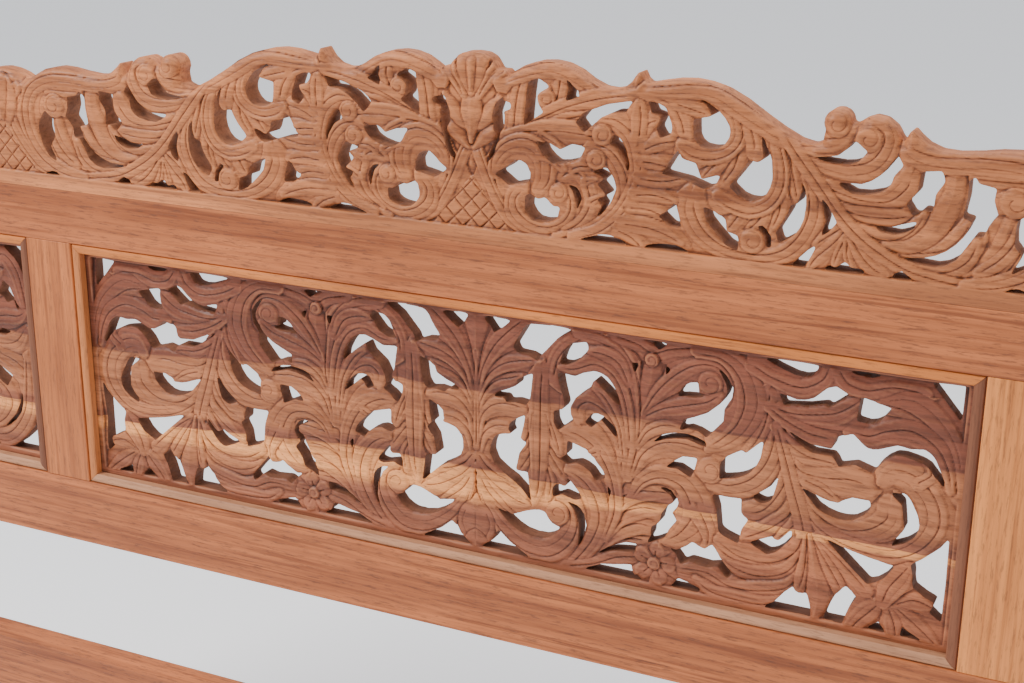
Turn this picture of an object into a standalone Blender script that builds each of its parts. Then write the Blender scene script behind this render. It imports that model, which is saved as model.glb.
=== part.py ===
"""Carved, pierced teak headboard for a wide bed, as its joiner would take it apart.

Three pierced panels sit in a mortise-and-tenon frame, held by mitred beads in front and by plain
stops behind. A pierced crest board stands on the top rail on dowels. Steel plates on the posts
take the hooks of the bed's side rails.

World frame: +X to the right seen from the bed, -Y towards the bed, +Z up, origin on the floor
under the middle. Dimensions are in millimetres until they reach a mesh.
"""
import math

import bmesh
import bpy
import numpy as np
from mathutils import Vector
from mathutils.geometry import delaunay_2d_cdt

MM = 0.001
GAP = 0.3                    # clearance between neighbouring pieces

# ---------------------------------------------------------------- driving dimensions
HALF_WIDTH = 950.0           # from the middle to a post's outer face
POST_WIDTH = 80.0
STILE_WIDTH = 70.0
FRAME_FRONT, FRAME_BACK = -20.0, 20.0
SIGHT_TOP = 872.0            # height of the visible top edge of the panels
SIGHT_HEIGHT = 300.0
SIGHT_HALF_WIDTH = 549.0     # of the middle panel
BEAD_WIDTH = 12.5
BEAD_ROUNDING = (6.0, 3.6, -16.2)      # half width, height and the depth it springs from
BEAD_QUIRK = 1.0             # flat groove between the frame and the rounding
BEAD_INNER_DROP = 1.2        # how far behind the spring the rounding ends on the inner side
STOP_CHAMFER = 3.0
TOP_RAIL_HEIGHT = 67.0
BOTTOM_RAIL_HEIGHT = 90.0
FOOT_RAIL_LOW, FOOT_RAIL_HIGH = 200.0, 290.0

PANEL_FRONT, PANEL_BACK = -8.0, 14.0
CREST_THICKNESS = 30.0
CREST_STRIP_HEIGHT = 17.5    # uncarved strip along the crest's foot
CREST_END_CLEAR = 2.0        # the crest's foot stops this far short of a post's outer face

TENON_THICKNESS = 12.0
TENON_SHOULDER = 10.0        # how far a tenon is narrower than its rail, at each edge
RAIL_TENON_LENGTH = 50.0
STILE_TENON_LENGTH = 40.0
TENON_ROOT = 20.0            # how far a tenon's block runs back into its own piece
PEG_RADIUS = 4.0
PEG_HOLE_OVERRUN = 5.0       # peg holes are cut from this far behind the frame
PEG_TIP = -10.0              # pegs are driven from behind and stop short of the front
DOWEL_RADIUS = 4.0
DOWEL_DEPTH = 30.0           # into the rail
DOWEL_RISE = 12.0            # into the crest
INNER_DOWEL_X = 300.0
PLATE_WIDTH, PLATE_HEIGHT, PLATE_THICKNESS = 30.0, 130.0, 4.0
PLATE_CENTRE = 385.0
SCREW_OFFSET = 50.0          # above and below the plate's centre
SCREW_RADIUS, SCREW_LENGTH, SCREW_HEAD = 2.5, 26.0, 4.5
SCREW_HEAD_DEPTH = 2.5
SCREW_ROOM = 1.0             # extra width and depth of the countersink round a screw's head
ROUND_SIDES = 14

# ---------------------------------------------------------------- derived places
OPENING_TOP = SIGHT_TOP + BEAD_WIDTH
OPENING_BOTTOM = SIGHT_TOP - SIGHT_HEIGHT - BEAD_WIDTH
RAIL_TOP = OPENING_TOP + TOP_RAIL_HEIGHT
MIDDLE_HALF = SIGHT_HALF_WIDTH + BEAD_WIDTH
STILE_OUTER = MIDDLE_HALF + STILE_WIDTH
POST_INNER = HALF_WIDTH - POST_WIDTH
SIDE_CENTRE = (STILE_OUTER + POST_INNER) / 2
SIDE_HALF = (POST_INNER - STILE_OUTER) / 2
CREST_BACK = FRAME_FRONT + CREST_THICKNESS
CREST_BASE = 78.0                      # the rise at which the crest meets the rail
CREST_ZERO = RAIL_TOP - CREST_BASE     # the crest's rises are counted from here
CREST_FOOT = CREST_BASE + GAP

# ---------------------------------------------------------------- how outlines are rounded
CORNER_TURN = 58.0           # a point that turns more than this stays a sharp corner
SAG = 0.9                    # a side that bows more than this is divided

# ---------------------------------------------------------------- middle panel
# Openings right of the centre line: (x from the centre line, drop below the sight top).
PANEL_OPENINGS = [
    # between the fronds of the centre stem
    [(9, 8), (44, 8), (33, 18), (22, 26), (15, 17)],
    [(68, 8), (119, 8), (100, 21), (80, 44), (78, 51), (66, 46), (50, 45), (46, 38), (53, 26), (60, 14)],
    [(72, 65), (62, 71), (52, 76), (51, 84), (40, 90), (28, 95), (20, 102), (36, 101), (39, 106),
     (50, 104), (63, 106), (68, 98), (70, 84)],
    [(62, 117), (50, 125), (43, 130), (41, 139), (45, 144), (26, 148), (18, 162), (17, 172),
     (22, 184), (36, 194), (47, 200), (60, 212), (71, 224), (66, 188), (51, 186), (55, 165),
     (64, 152), (57, 146), (60, 132)],
    # round the big scroll at the stem's foot
    [(26, 238), (49, 243), (63, 236), (72, 233), (88, 232), (97, 244), (107, 248), (100, 258),
     (85, 266), (60, 264), (40, 252)],
    [(30, 265), (45, 278), (72, 293), (5, 293), (21, 282)],
    [(113, 211), (128, 216), (137, 226), (139, 240), (134, 261), (129, 268), (131, 250),
     (130, 235), (124, 221)],
    # between the hanging leaf and the fan
    [(117, 24), (134, 20), (138, 28), (124, 44), (112, 50), (103, 50), (107, 38)],
    [(101, 60), (122, 62), (132, 56), (145, 52), (161, 57), (174, 77), (177, 90), (160, 74),
     (145, 62), (140, 73), (124, 86), (118, 98), (118, 108), (122, 115), (112, 121), (102, 130),
     (97, 120), (96, 107), (107, 104), (110, 98), (105, 80)],
    [(134, 115), (141, 104), (157, 102), (172, 117), (174, 127), (163, 117), (153, 108), (143, 119)],
    [(113, 140), (138, 147), (147, 155), (158, 167), (162, 176), (150, 182), (142, 172),
     (126, 165), (113, 169), (105, 163), (113, 157)],
    [(163, 182), (169, 190), (166, 203)],
    [(113, 183), (118, 188), (122, 193), (130, 203), (133, 208), (124, 210), (109, 206), (97, 212),
     (97, 200), (101, 195), (112, 196), (115, 192)],
    # along the fan's right edge and over the rosette
    [(149, 273), (167, 259), (188, 249), (201, 248), (200, 259), (172, 263)],
    [(159, 282), (195, 276), (198, 286), (211, 293), (136, 293)],
    [(221, 174), (232, 174), (240, 176), (246, 184), (248, 190), (245, 198), (240, 203),
     (247, 211), (238, 223), (234, 234), (224, 240), (212, 246), (217, 235), (218, 223),
     (226, 218), (229, 205), (235, 196), (242, 190), (240, 182), (232, 178)],
    [(211, 126), (226, 113), (250, 107), (275, 113), (278, 119), (255, 113), (230, 117)],
    [(230, 150), (250, 134), (267, 133), (265, 144), (261, 157), (245, 149)],
    # top flower and the curl beside it
    [(188, 34), (197, 35), (192, 49)],
    [(226, 34), (233, 36), (227, 46)],
    [(207, 8), (230, 8), (219, 17)],
    [(240, 67), (247, 54), (255, 48), (265, 46), (265, 59), (276, 61), (262, 64), (248, 65)],
    [(283, 24), (296, 34), (303, 46), (302, 58), (294, 72), (294, 86), (285, 97), (276, 108),
     (265, 103), (255, 101), (245, 104), (249, 92), (262, 86), (276, 79), (290, 66), (297, 50),
     (291, 36)],
    # round the second curl and its rib
    [(293, 133), (300, 125), (316, 115), (320, 118), (339, 99), (337, 119), (327, 138), (310, 148),
     (293, 152)],
    [(329, 167), (350, 150), (360, 132), (354, 157), (352, 165), (341, 171)],
    [(285, 172), (318, 171), (320, 188), (327, 194), (320, 207), (318, 224), (306, 220),
     (294, 214), (291, 190)],
    [(329, 220), (354, 208), (362, 211), (377, 193), (375, 207), (364, 221), (350, 229), (337, 224)],
    # right of the rosette
    [(236, 244), (247, 247), (258, 240), (266, 232), (272, 237), (280, 238), (288, 231), (296, 242),
     (305, 252), (313, 262), (308, 268), (296, 256), (285, 259), (262, 257), (254, 262), (246, 252)],
    [(250, 281), (262, 284), (277, 288), (276, 293), (240, 293), (246, 288)],
    # round the pendant leaf and the corner spray
    [(349, 293), (362, 283), (372, 270), (381, 261), (386, 268), (397, 267), (401, 280), (403, 293)],
    [(415, 293), (420, 277), (427, 261), (437, 248), (450, 259), (443, 271), (439, 284), (437, 293)],
    [(410, 197), (439, 205), (487, 215), (477, 230), (468, 238), (460, 241)],
    [(461, 293), (475, 282), (484, 293)],
    [(500, 282), (514, 288), (525, 293), (498, 293)],
    [(503, 208), (512, 202), (531, 184), (539, 171), (539, 270), (526, 259), (531, 248), (508, 236),
     (506, 220)],
    # big leaf curling into the right-hand ring
    [(475, 132), (491, 132), (500, 144), (508, 163), (504, 178), (495, 186), (479, 194), (493, 171),
     (491, 157), (489, 144)],
    [(360, 78), (372, 86), (390, 94), (412, 96), (416, 82), (433, 75), (448, 88), (460, 88),
     (479, 80), (492, 82), (506, 79), (518, 88), (529, 111), (529, 119), (512, 99), (495, 93),
     (477, 92), (462, 105), (456, 116), (437, 110), (420, 115), (413, 104), (392, 104), (375, 94)],
    [(381, 144), (406, 153), (422, 155), (437, 146), (456, 146), (456, 157), (439, 172), (420, 173),
     (400, 165)],
    # under the top border
    [(506, 8), (539, 8), (539, 46)],
    [(435, 61), (438, 34), (452, 37), (471, 41), (460, 57), (447, 63)],
    [(420, 8), (462, 8), (447, 13), (431, 12)],
    [(332, 8), (393, 8), (385, 21), (368, 22), (350, 16)],
    [(352, 43), (372, 48), (390, 43), (403, 30), (412, 27), (427, 34), (418, 42), (406, 52),
     (402, 49), (383, 54), (358, 57)],
]

# ---------------------------------------------------------------- side panels
# Openings on one side of a side panel's own centre line: (offset, drop below the sight top).
SIDE_OPENINGS = [
    [(96, 8), (62, 8), (68, 11), (84, 24), (94, 42), (97, 70)],
    [(50, 76), (60, 56), (70, 66), (76, 80), (84, 96), (77, 93), (73, 82), (62, 88)],
    [(12, 14), (34, 10), (46, 22), (40, 44), (24, 54), (14, 40)],
    [(12, 76), (28, 84), (34, 104), (24, 120), (12, 110)],
    [(66, 127), (50, 123), (38, 132), (52, 133)],
    [(60, 188), (46, 180), (30, 170), (14, 154), (16, 176), (32, 192), (52, 205)],
    [(74, 206), (77, 222), (72, 238), (61, 251), (46, 262), (36, 267), (50, 254), (62, 242),
     (70, 226)],
    [(12, 216), (28, 226), (32, 244), (20, 258), (10, 244)],
    [(97, 240), (91, 256), (76, 272), (62, 284), (48, 293), (97, 293)],
    [(10, 278), (24, 284), (30, 293), (10, 293)],
]

# ---------------------------------------------------------------- crest
# Openings right of the centre line: (x from the centre line, rise above the panels' sight top).
CREST_OPENINGS = [
    # beside the palmette, under the first arch
    [(42, 247), (36, 237), (47, 235), (47, 229), (37, 225), (39, 219), (37, 206), (29, 181),
     (22, 169), (20, 175), (30, 200), (26, 208), (25, 221), (30, 235)],
    [(67, 260), (78, 264), (92, 256), (82, 250), (78, 246), (80, 235), (86, 229), (74, 221),
     (62, 212), (63, 223), (65, 246)],
    [(109, 268), (122, 256), (127, 249), (110, 242), (113, 256)],
    # round the double ring
    [(186, 249), (157, 243), (130, 232), (122, 222), (132, 211), (140, 219), (151, 229), (163, 235),
     (178, 236), (180, 242)],
    [(163, 212), (170, 211), (178, 200), (183, 183), (182, 169), (178, 183), (170, 196), (160, 202)],
    [(139, 171), (157, 177), (165, 167), (169, 156), (163, 140), (153, 126), (145, 121), (153, 135),
     (147, 142), (158, 147), (147, 158), (155, 165)],
    [(76, 199), (94, 196), (105, 191), (117, 198), (134, 196), (128, 185), (120, 180), (107, 176),
     (97, 175), (84, 185)],
    [(28, 158), (40, 165), (52, 175), (65, 171), (70, 162), (69, 152), (51, 148), (45, 146)],
    [(65, 138), (70, 140), (80, 135), (88, 138), (97, 129), (105, 129), (103, 117), (92, 111),
     (74, 111), (64, 123)],
    [(111, 156), (124, 152), (130, 140), (125, 125), (124, 135), (120, 148)],
    # along the foot strip
    [(124, 96), (153, 105), (163, 105), (176, 101), (186, 96)],
    [(198, 96), (207, 100), (236, 103), (256, 96)],
    [(358, 96), (373, 96), (379, 108), (385, 122), (374, 113), (366, 104)],
    [(390, 96), (399, 102), (405, 100), (414, 107), (420, 102), (432, 101), (434, 96)],
    [(459, 96), (464, 102), (470, 105), (484, 96)],
    # the leaf behind the rings, under the second arch
    [(200, 250), (211, 249), (220, 245), (227, 227), (227, 218), (216, 213), (210, 222), (216, 235),
     (205, 238)],
    [(218, 176), (226, 190), (235, 203), (240, 194), (255, 191), (258, 181), (262, 175), (276, 180),
     (281, 181), (277, 172), (265, 165), (244, 172)],
    [(249, 257), (261, 255), (276, 246), (288, 231), (288, 219), (278, 208), (259, 208), (251, 217),
     (250, 235), (270, 240), (263, 250)],
    [(216, 132), (226, 138), (234, 149), (238, 137), (242, 121), (228, 122)],
    # in and round the third ring
    [(264, 148), (276, 143), (288, 136), (291, 124), (303, 120), (304, 104), (290, 110), (276, 124),
     (268, 133)],
    [(320, 229), (326, 219), (333, 202), (335, 183), (330, 167), (318, 158), (301, 161), (290, 170),
     (306, 192), (310, 199), (320, 198), (325, 204)],
    [(363, 188), (370, 175), (370, 146), (360, 127), (345, 117), (341, 128), (353, 150), (355, 158),
     (362, 160), (366, 175)],
    [(385, 171), (393, 162), (403, 146), (395, 135), (387, 129), (391, 146)],
    [(322, 133), (328, 135), (337, 124), (338, 112), (332, 112), (330, 123)],
    # between the ribs that spring to the wing
    [(372, 210), (399, 212), (414, 228), (418, 227), (428, 219), (420, 208), (403, 204), (387, 205)],
]
# Openings of the wing; each is repeated mirrored about the wing's own palmette.
WING_OPENINGS = [
    [(457, 218), (463, 208), (455, 198), (453, 190), (443, 180), (416, 176), (399, 186), (424, 186),
     (443, 198)],
    [(437, 147), (457, 147), (472, 153), (481, 156), (478, 148), (462, 140), (447, 141)],
    [(480, 204), (500, 207), (503, 196), (495, 183), (494, 165), (485, 167), (479, 160), (475, 161),
     (468, 171), (478, 183)],
    [(525, 200), (531, 204), (535, 198), (551, 195), (550, 183), (555, 169), (547, 158), (543, 146),
     (535, 146), (520, 121), (501, 112), (464, 117), (489, 120), (510, 129), (526, 146), (532, 161),
     (522, 163), (525, 183)],
    [(586, 176), (597, 163), (598, 148), (592, 132), (583, 119), (570, 112), (577, 124), (580, 133),
     (573, 141), (572, 152), (573, 166)],
    [(600, 96), (580, 101), (560, 96)],
]
WING_CENTRE = 655.0


def arc(centre_x, centre_z, radius, start, end, steps):
    """Points on a circle from the start angle to the end angle, in degrees."""
    angles = np.radians(np.linspace(start, end, steps))
    return [(centre_x + radius * math.cos(a), centre_z + radius * math.sin(a)) for a in angles]


# The crest's upper edge from the centre line to the wing's palmette, then the outer end.
CREST_TOP = (0, 285)
WING_TOP = (WING_CENTRE, 223)
CREST_END_JOIN = 12          # the mirrored wing stops this far before the outer end begins
CREST_ARCHES = [
    (12, 284), (20, 280), (25, 273), (28, 268), (37, 268), (41, 263), (50, 269), (62, 276),
    (76, 280), (90, 281), (105, 279), (120, 273), (134, 264), (148, 258), (160, 257), (172, 260),
    (181, 267), (189, 279), (193, 270), (198, 266), (212, 269), (228, 272), (245, 273), (262, 271),
    (280, 266), (300, 256), (320, 243), (340, 231), (358, 222), (372, 219), (382, 223),
]
FIRST_CURL = arc(395, 243, 13.5, 215, 0, 9)
CREST_WING = [
    (412, 242), (420, 248), (430, 252), (441, 250), (451, 243), (457, 233), (460, 229), (467, 243),
    (474, 236), (483, 229), (496, 224), (512, 223), (532, 225), (551, 228), (569, 229), (584, 226),
    (597, 219), (608, 213), (616, 212), (626, 217), (639, 221),
]
CREST_END = [
    (884, 252), (894, 248), (905, 238), (917, 222), (929, 202), (938, 178), (942, 150), (941, 120),
    (943, 100),
]


# ---------------------------------------------------------------- outlines
def turn_at(points, i):
    """How sharply a closed outline turns at a point, in degrees."""
    before = points[i] - points[i - 1]
    after = points[(i + 1) % len(points)] - points[i]
    cross = before[0] * after[1] - before[1] * after[0]
    return abs(math.degrees(math.atan2(cross, before @ after)))


def rounded(outline):
    """A closed outline with its gentle turns rounded into curves and its corners kept."""
    points = np.array(outline, float)
    count = len(points)
    sharp = [turn_at(points, i) > CORNER_TURN for i in range(count)]
    out = []
    for i in range(count):
        before, here, there, after = (points[(i + k) % count] for k in (-1, 0, 1, 2))
        side = there - here
        length = np.hypot(*side)
        leave = side if sharp[i] else length * (there - before) / (np.hypot(*(here - before)) + length)
        arrive = side
        if not sharp[(i + 1) % count]:
            arrive = length * (after - here) / (np.hypot(*(after - there)) + length)
        bow = np.hypot(*((leave - arrive) / 8))
        pieces = 1 + (bow > SAG) + (bow > 4 * SAG)
        for t in np.arange(pieces) / pieces:
            shape = (2 * t**3 - 3 * t**2 + 1, t**3 - 2 * t**2 + t, 3 * t**2 - 2 * t**3, t**3 - t**2)
            out.append(shape[0] * here + shape[1] * leave + shape[2] * there + shape[3] * arrive)
    return np.array(out)


def both_sides(outlines, centre=0.0):
    """Each outline and its mirror image about a vertical line."""
    mirrored = [[(2 * centre - x, z) for x, z in outline] for outline in outlines]
    return list(outlines) + mirrored


def placed(outlines, x0, z0, down=False):
    """Outlines rounded and moved to their place; drops are turned into heights."""
    flip = np.array([1, -1 if down else 1])
    return [rounded(outline) * flip + [x0, z0] for outline in outlines]


# ---------------------------------------------------------------- solids
def material(name, colour, roughness, metallic=0.0):
    made = bpy.data.materials.new(name)
    made.use_nodes = True
    shader = made.node_tree.nodes["Principled BSDF"]
    shader.inputs["Base Color"].default_value = (*colour, 1)
    shader.inputs["Roughness"].default_value = roughness
    shader.inputs["Metallic"].default_value = metallic
    return made


def teak(name, shade):
    """Oiled teak; shade runs from 0, the darkest boards, to 1, the palest."""
    dark, pale = np.array((0.20, 0.075, 0.03)), np.array((0.48, 0.23, 0.09))
    return material(name, tuple(dark + shade * (pale - dark)), 0.5)


def steel(name):
    return material(name, (0.42, 0.40, 0.36), 0.35, 1.0)


def to_object(name, mesh_builder, look):
    """An object from a filled bmesh whose coordinates are millimetres."""
    bmesh.ops.scale(mesh_builder, vec=(MM, MM, MM), verts=mesh_builder.verts)
    bmesh.ops.recalc_face_normals(mesh_builder, faces=mesh_builder.faces)
    mesh = bpy.data.meshes.new(name)
    mesh_builder.to_mesh(mesh)
    mesh_builder.free()
    made = bpy.data.objects.new(name, mesh)
    made.data.materials.append(look)
    bpy.context.scene.collection.objects.link(made)
    return made


def block(name, low, high, look):
    """A box between two corners."""
    builder = bmesh.new()
    low, high = Vector(low), Vector(high)
    bmesh.ops.create_cube(builder, size=1)
    bmesh.ops.scale(builder, vec=high - low, verts=builder.verts)
    bmesh.ops.translate(builder, vec=(low + high) / 2, verts=builder.verts)
    return to_object(name, builder, look)


def rod(name, start, axis, length, radius, look, head=None):
    """A round rod from a point along an axis; head is the (radius, depth) of a countersunk head."""
    builder = bmesh.new()
    rings = [(0, radius), (length, radius)]
    if head:
        rings = [(0, head[0]), (head[1], radius), (length, radius)]
    axis = Vector(axis)
    side = axis.orthogonal().normalized()
    other = axis.cross(side)
    loops = []
    for along, ring_radius in rings:
        angles = np.linspace(0, 2 * math.pi, ROUND_SIDES, endpoint=False)
        centre = Vector(start) + along * axis
        spokes = [side * math.cos(a) + other * math.sin(a) for a in angles]
        loops.append([builder.verts.new(centre + ring_radius * spoke) for spoke in spokes])
    for near, far in zip(loops, loops[1:]):
        for i in range(ROUND_SIDES):
            j = (i + 1) % ROUND_SIDES
            builder.faces.new((near[i], near[j], far[j], far[i]))
    builder.faces.new(loops[0])
    builder.faces.new(loops[-1])
    made = to_object(name, builder, look)
    made.data.shade_smooth()
    made.data.set_sharp_from_angle(angle=math.radians(40))
    return made


def combine(target, tool, operation):
    """Join a helper solid to a piece, or cut it away, and keep the helper out of sight."""
    step = target.modifiers.new(tool.name, "BOOLEAN")
    step.operation = operation
    step.solver = "EXACT"
    step.object = tool
    tool.hide_render = True
    tool.display_type = "WIRE"


def inside(points, loops):
    """Which points lie in the wood: within the outline and outside every opening."""
    crossings = np.zeros(len(points), int)
    for loop in loops:
        start, end = loop, np.roll(loop, -1, axis=0)
        x, z = points[:, :1], points[:, 1:]
        spans = (start[:, 1] > z) != (end[:, 1] > z)
        rise = np.where(spans, end[:, 1] - start[:, 1], 1)
        cross_x = start[:, 0] + (z - start[:, 1]) * (end[:, 0] - start[:, 0]) / rise
        crossings += (spans & (x < cross_x)).sum(1)
    return crossings % 2 == 1


def pierced_board(name, outline, openings, front, back, look):
    """A board of even thickness with shaped openings sawn through it."""
    loops = [np.array(outline, float), *openings]
    points = np.concatenate(loops)
    edges, first = [], 0
    for loop in loops:
        edges += [(first + i, first + (i + 1) % len(loop)) for i in range(len(loop))]
        first += len(loop)
    flat, _, triangles, *_ = delaunay_2d_cdt([Vector(p) for p in points], edges, [], 0, 1e-5)
    flat = np.array([tuple(v) for v in flat])
    triangles = np.array([t for t in triangles if len(t) == 3])
    triangles = triangles[inside(flat[triangles].mean(1), loops)]

    builder = bmesh.new()
    face_rows = [[builder.verts.new((x, y, z)) for x, z in flat] for y in (front, back)]
    sides = {}
    for a, b, c in triangles:
        for row in face_rows:
            builder.faces.new((row[a], row[b], row[c]))
        for edge in ((a, b), (b, c), (c, a)):
            key = tuple(sorted(edge))
            sides[key] = sides.get(key, 0) + 1
    for (a, b), uses in sides.items():
        if uses == 1:
            builder.faces.new((face_rows[0][a], face_rows[0][b], face_rows[1][b], face_rows[1][a]))
    loose = [v for v in builder.verts if not v.link_faces]
    bmesh.ops.delete(builder, geom=loose, context="VERTS")
    return to_object(name, builder, look)


# ---------------------------------------------------------------- the frame
def tenoned(piece, low, high):
    """Add a tenon between two corners; it starts inside the piece so that the join is clean."""
    combine(piece, block(piece.name + "_tenon", low, high, piece.data.materials[0]), "UNION")


def mortised(piece, low, high):
    """Cut a mortise that leaves the gap all round the tenon between two corners."""
    room = Vector((GAP, GAP, GAP))
    low, high = Vector(low) - room, Vector(high) + room
    socket = block(piece.name + "_mortise", low, high, piece.data.materials[0])
    combine(piece, socket, "DIFFERENCE")


def rail(name, bottom, top, look, posts):
    """A rail between the posts, tenoned into both and pegged from behind."""
    half = POST_INNER - GAP
    made = block(name, (-half, FRAME_FRONT, bottom), (half, FRAME_BACK, top), look)
    for side, post in posts.items():
        ends = sorted((side * (half - TENON_ROOT), side * (POST_INNER + RAIL_TENON_LENGTH)))
        low = (ends[0], -TENON_THICKNESS / 2, bottom + TENON_SHOULDER)
        high = (ends[1], TENON_THICKNESS / 2, top - TENON_SHOULDER)
        tenoned(made, low, high)
        mortised(post, low, high)
        peg_x = side * (POST_INNER + RAIL_TENON_LENGTH / 2)
        hand = "left" if side < 0 else "right"
        pegged(f"{hand}_{name}_peg", peg_x, (bottom + top) / 2, (made, post))
    return made


def pegged(name, x, z, pieces):
    """Drive a peg from behind through a joint, with a clear hole in both pieces."""
    hole_back = FRAME_BACK + PEG_HOLE_OVERRUN
    hole_length = hole_back - PEG_TIP + GAP
    hole = rod(name + "_hole", (x, hole_back, z), (0, -1, 0), hole_length, PEG_RADIUS + GAP, PEG_WOOD)
    for piece in pieces:
        combine(piece, hole, "DIFFERENCE")
    rod(name, (x, FRAME_BACK, z), (0, -1, 0), FRAME_BACK - PEG_TIP, PEG_RADIUS, PEG_WOOD)


def stile(name, side, look, top_rail, bottom_rail):
    """An upright between the top and bottom rails, tenoned and pegged at both ends."""
    low_x, high_x = sorted((side * MIDDLE_HALF, side * STILE_OUTER))
    low_z, high_z = OPENING_BOTTOM + GAP, OPENING_TOP - GAP
    made = block(name, (low_x, FRAME_FRONT, low_z), (high_x, FRAME_BACK, high_z), look)
    ends = (
        ("top", top_rail, high_z - TENON_ROOT, OPENING_TOP + STILE_TENON_LENGTH),
        ("bottom", bottom_rail, OPENING_BOTTOM - STILE_TENON_LENGTH, low_z + TENON_ROOT),
    )
    for place, cross_rail, from_z, to_z in ends:
        low = (low_x + TENON_SHOULDER, -TENON_THICKNESS / 2, from_z)
        high = (high_x - TENON_SHOULDER, TENON_THICKNESS / 2, to_z)
        tenoned(made, low, high)
        mortised(cross_rail, low, high)
        reach = STILE_TENON_LENGTH / 2
        peg_z = OPENING_TOP + reach if place == "top" else OPENING_BOTTOM - reach
        pegged(f"{name}_{place}_peg", side * (MIDDLE_HALF + STILE_OUTER) / 2, peg_z, (made, cross_rail))
    return made


# ---------------------------------------------------------------- beads and stops
def bead_profile():
    """(distance in from the frame, depth) of a rounded bead; its inner side falls to the panel."""
    angles = np.radians((0, 35, 70, 100, 130, 155))
    half_width, height, shoulder = BEAD_ROUNDING
    rounding = [
        (half_width * (1 - math.cos(a)) + BEAD_QUIRK, shoulder - height * math.sin(a)) for a in angles
    ]
    inner = [(BEAD_WIDTH, shoulder + BEAD_INNER_DROP), (BEAD_WIDTH, PANEL_FRONT - GAP)]
    return [(GAP, PANEL_FRONT - GAP), (GAP, shoulder), *rounding, *inner]


def stop_profile():
    """(distance in from the frame, depth) of the plain stop behind a panel."""
    return [
        (GAP, PANEL_BACK + GAP), (GAP, FRAME_BACK), (BEAD_WIDTH - STOP_CHAMFER, FRAME_BACK),
        (BEAD_WIDTH, FRAME_BACK - STOP_CHAMFER), (BEAD_WIDTH, PANEL_BACK + GAP),
    ]


def mitred_strips(prefix, centre_x, half_x, profile, look):
    """Four strips round an opening, mitred at the corners."""
    centre_z, half_z = (OPENING_TOP + OPENING_BOTTOM) / 2, (OPENING_TOP - OPENING_BOTTOM) / 2
    mitre_gap = GAP * 0.75
    places = (("top", 0, 1), ("bottom", 0, -1), ("left", -1, 0), ("right", 1, 0))
    for place, side_x, side_z in places:
        builder = bmesh.new()
        rings = []
        for end in (-1, 1):
            ring = []
            for inset, y in profile:
                across_x, across_z = half_x - inset, half_z - inset
                if side_z:
                    x, z = end * (across_x - mitre_gap), side_z * across_z
                else:
                    x, z = side_x * across_x, end * (across_z - mitre_gap)
                ring.append(builder.verts.new((centre_x + x, y, centre_z + z)))
            rings.append(ring)
        count = len(profile)
        for i in range(count):
            j = (i + 1) % count
            builder.faces.new((rings[0][i], rings[0][j], rings[1][j], rings[1][i]))
        builder.faces.new(rings[0])
        builder.faces.new(rings[1])
        to_object(f"{prefix}_{place}", builder, look)


# ---------------------------------------------------------------- carved boards
def board_outline(centre_x, half_x):
    """The rectangle of a panel, clear of the frame by the gap."""
    half = half_x - GAP
    left, right = centre_x - half, centre_x + half
    low, high = OPENING_BOTTOM + GAP, OPENING_TOP - GAP
    return [(left, low), (right, low), (right, high), (left, high)]


def middle_panel(look):
    openings = placed(both_sides(PANEL_OPENINGS), 0, SIGHT_TOP, down=True)
    outline = board_outline(0, MIDDLE_HALF)
    return pierced_board("middle_panel", outline, openings, PANEL_FRONT, PANEL_BACK, look)


def side_panel(name, side, look):
    centre = side * SIDE_CENTRE
    openings = placed(both_sides(SIDE_OPENINGS), centre, SIGHT_TOP, down=True)
    outline = board_outline(centre, SIDE_HALF)
    return pierced_board(name, outline, openings, PANEL_FRONT, PANEL_BACK, look)


def crest_outline():
    """The crest's whole outline: its upper edge from the left end to the right, then its foot."""
    wing_back = [(2 * WING_CENTRE - x, z) for x, z in reversed(CREST_WING)]
    wing_back = [p for p in wing_back if p[0] < CREST_END[0][0] - CREST_END_JOIN]
    right = [*CREST_ARCHES, *FIRST_CURL, *CREST_WING, WING_TOP, *wing_back, *CREST_END]
    foot_x = HALF_WIDTH - CREST_END_CLEAR
    right += [(foot_x, CREST_FOOT + CREST_STRIP_HEIGHT), (foot_x, CREST_FOOT)]
    left = [(-x, z) for x, z in reversed(right)]
    return [*left, CREST_TOP, *right]


def crest(look):
    wings = both_sides(WING_OPENINGS, WING_CENTRE)
    openings = placed(both_sides(CREST_OPENINGS + wings), 0, CREST_ZERO)
    outline = placed([crest_outline()], 0, CREST_ZERO)[0]
    return pierced_board("crest", outline, openings, FRAME_FRONT, CREST_BACK, look)


def dowelled(crest_board, top_rail):
    """Dowels that stand in the top rail and hold the crest's foot strip."""
    y = (FRAME_FRONT + CREST_BACK) / 2
    places = (
        ("middle", 0),
        ("inner_left", -INNER_DOWEL_X),
        ("inner_right", INNER_DOWEL_X),
        ("outer_left", -WING_CENTRE),
        ("outer_right", WING_CENTRE),
    )
    length = DOWEL_DEPTH + DOWEL_RISE
    for place, x in places:
        start = (x, y, RAIL_TOP - DOWEL_DEPTH)
        below = (x, y, start[2] - GAP)
        socket = rod(place + "_socket", below, (0, 0, 1), length + 2 * GAP, DOWEL_RADIUS + GAP, PEG_WOOD)
        for piece in (crest_board, top_rail):
            combine(piece, socket, "DIFFERENCE")
        rod(f"crest_dowel_{place}", start, (0, 0, 1), length, DOWEL_RADIUS, PEG_WOOD)


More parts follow.
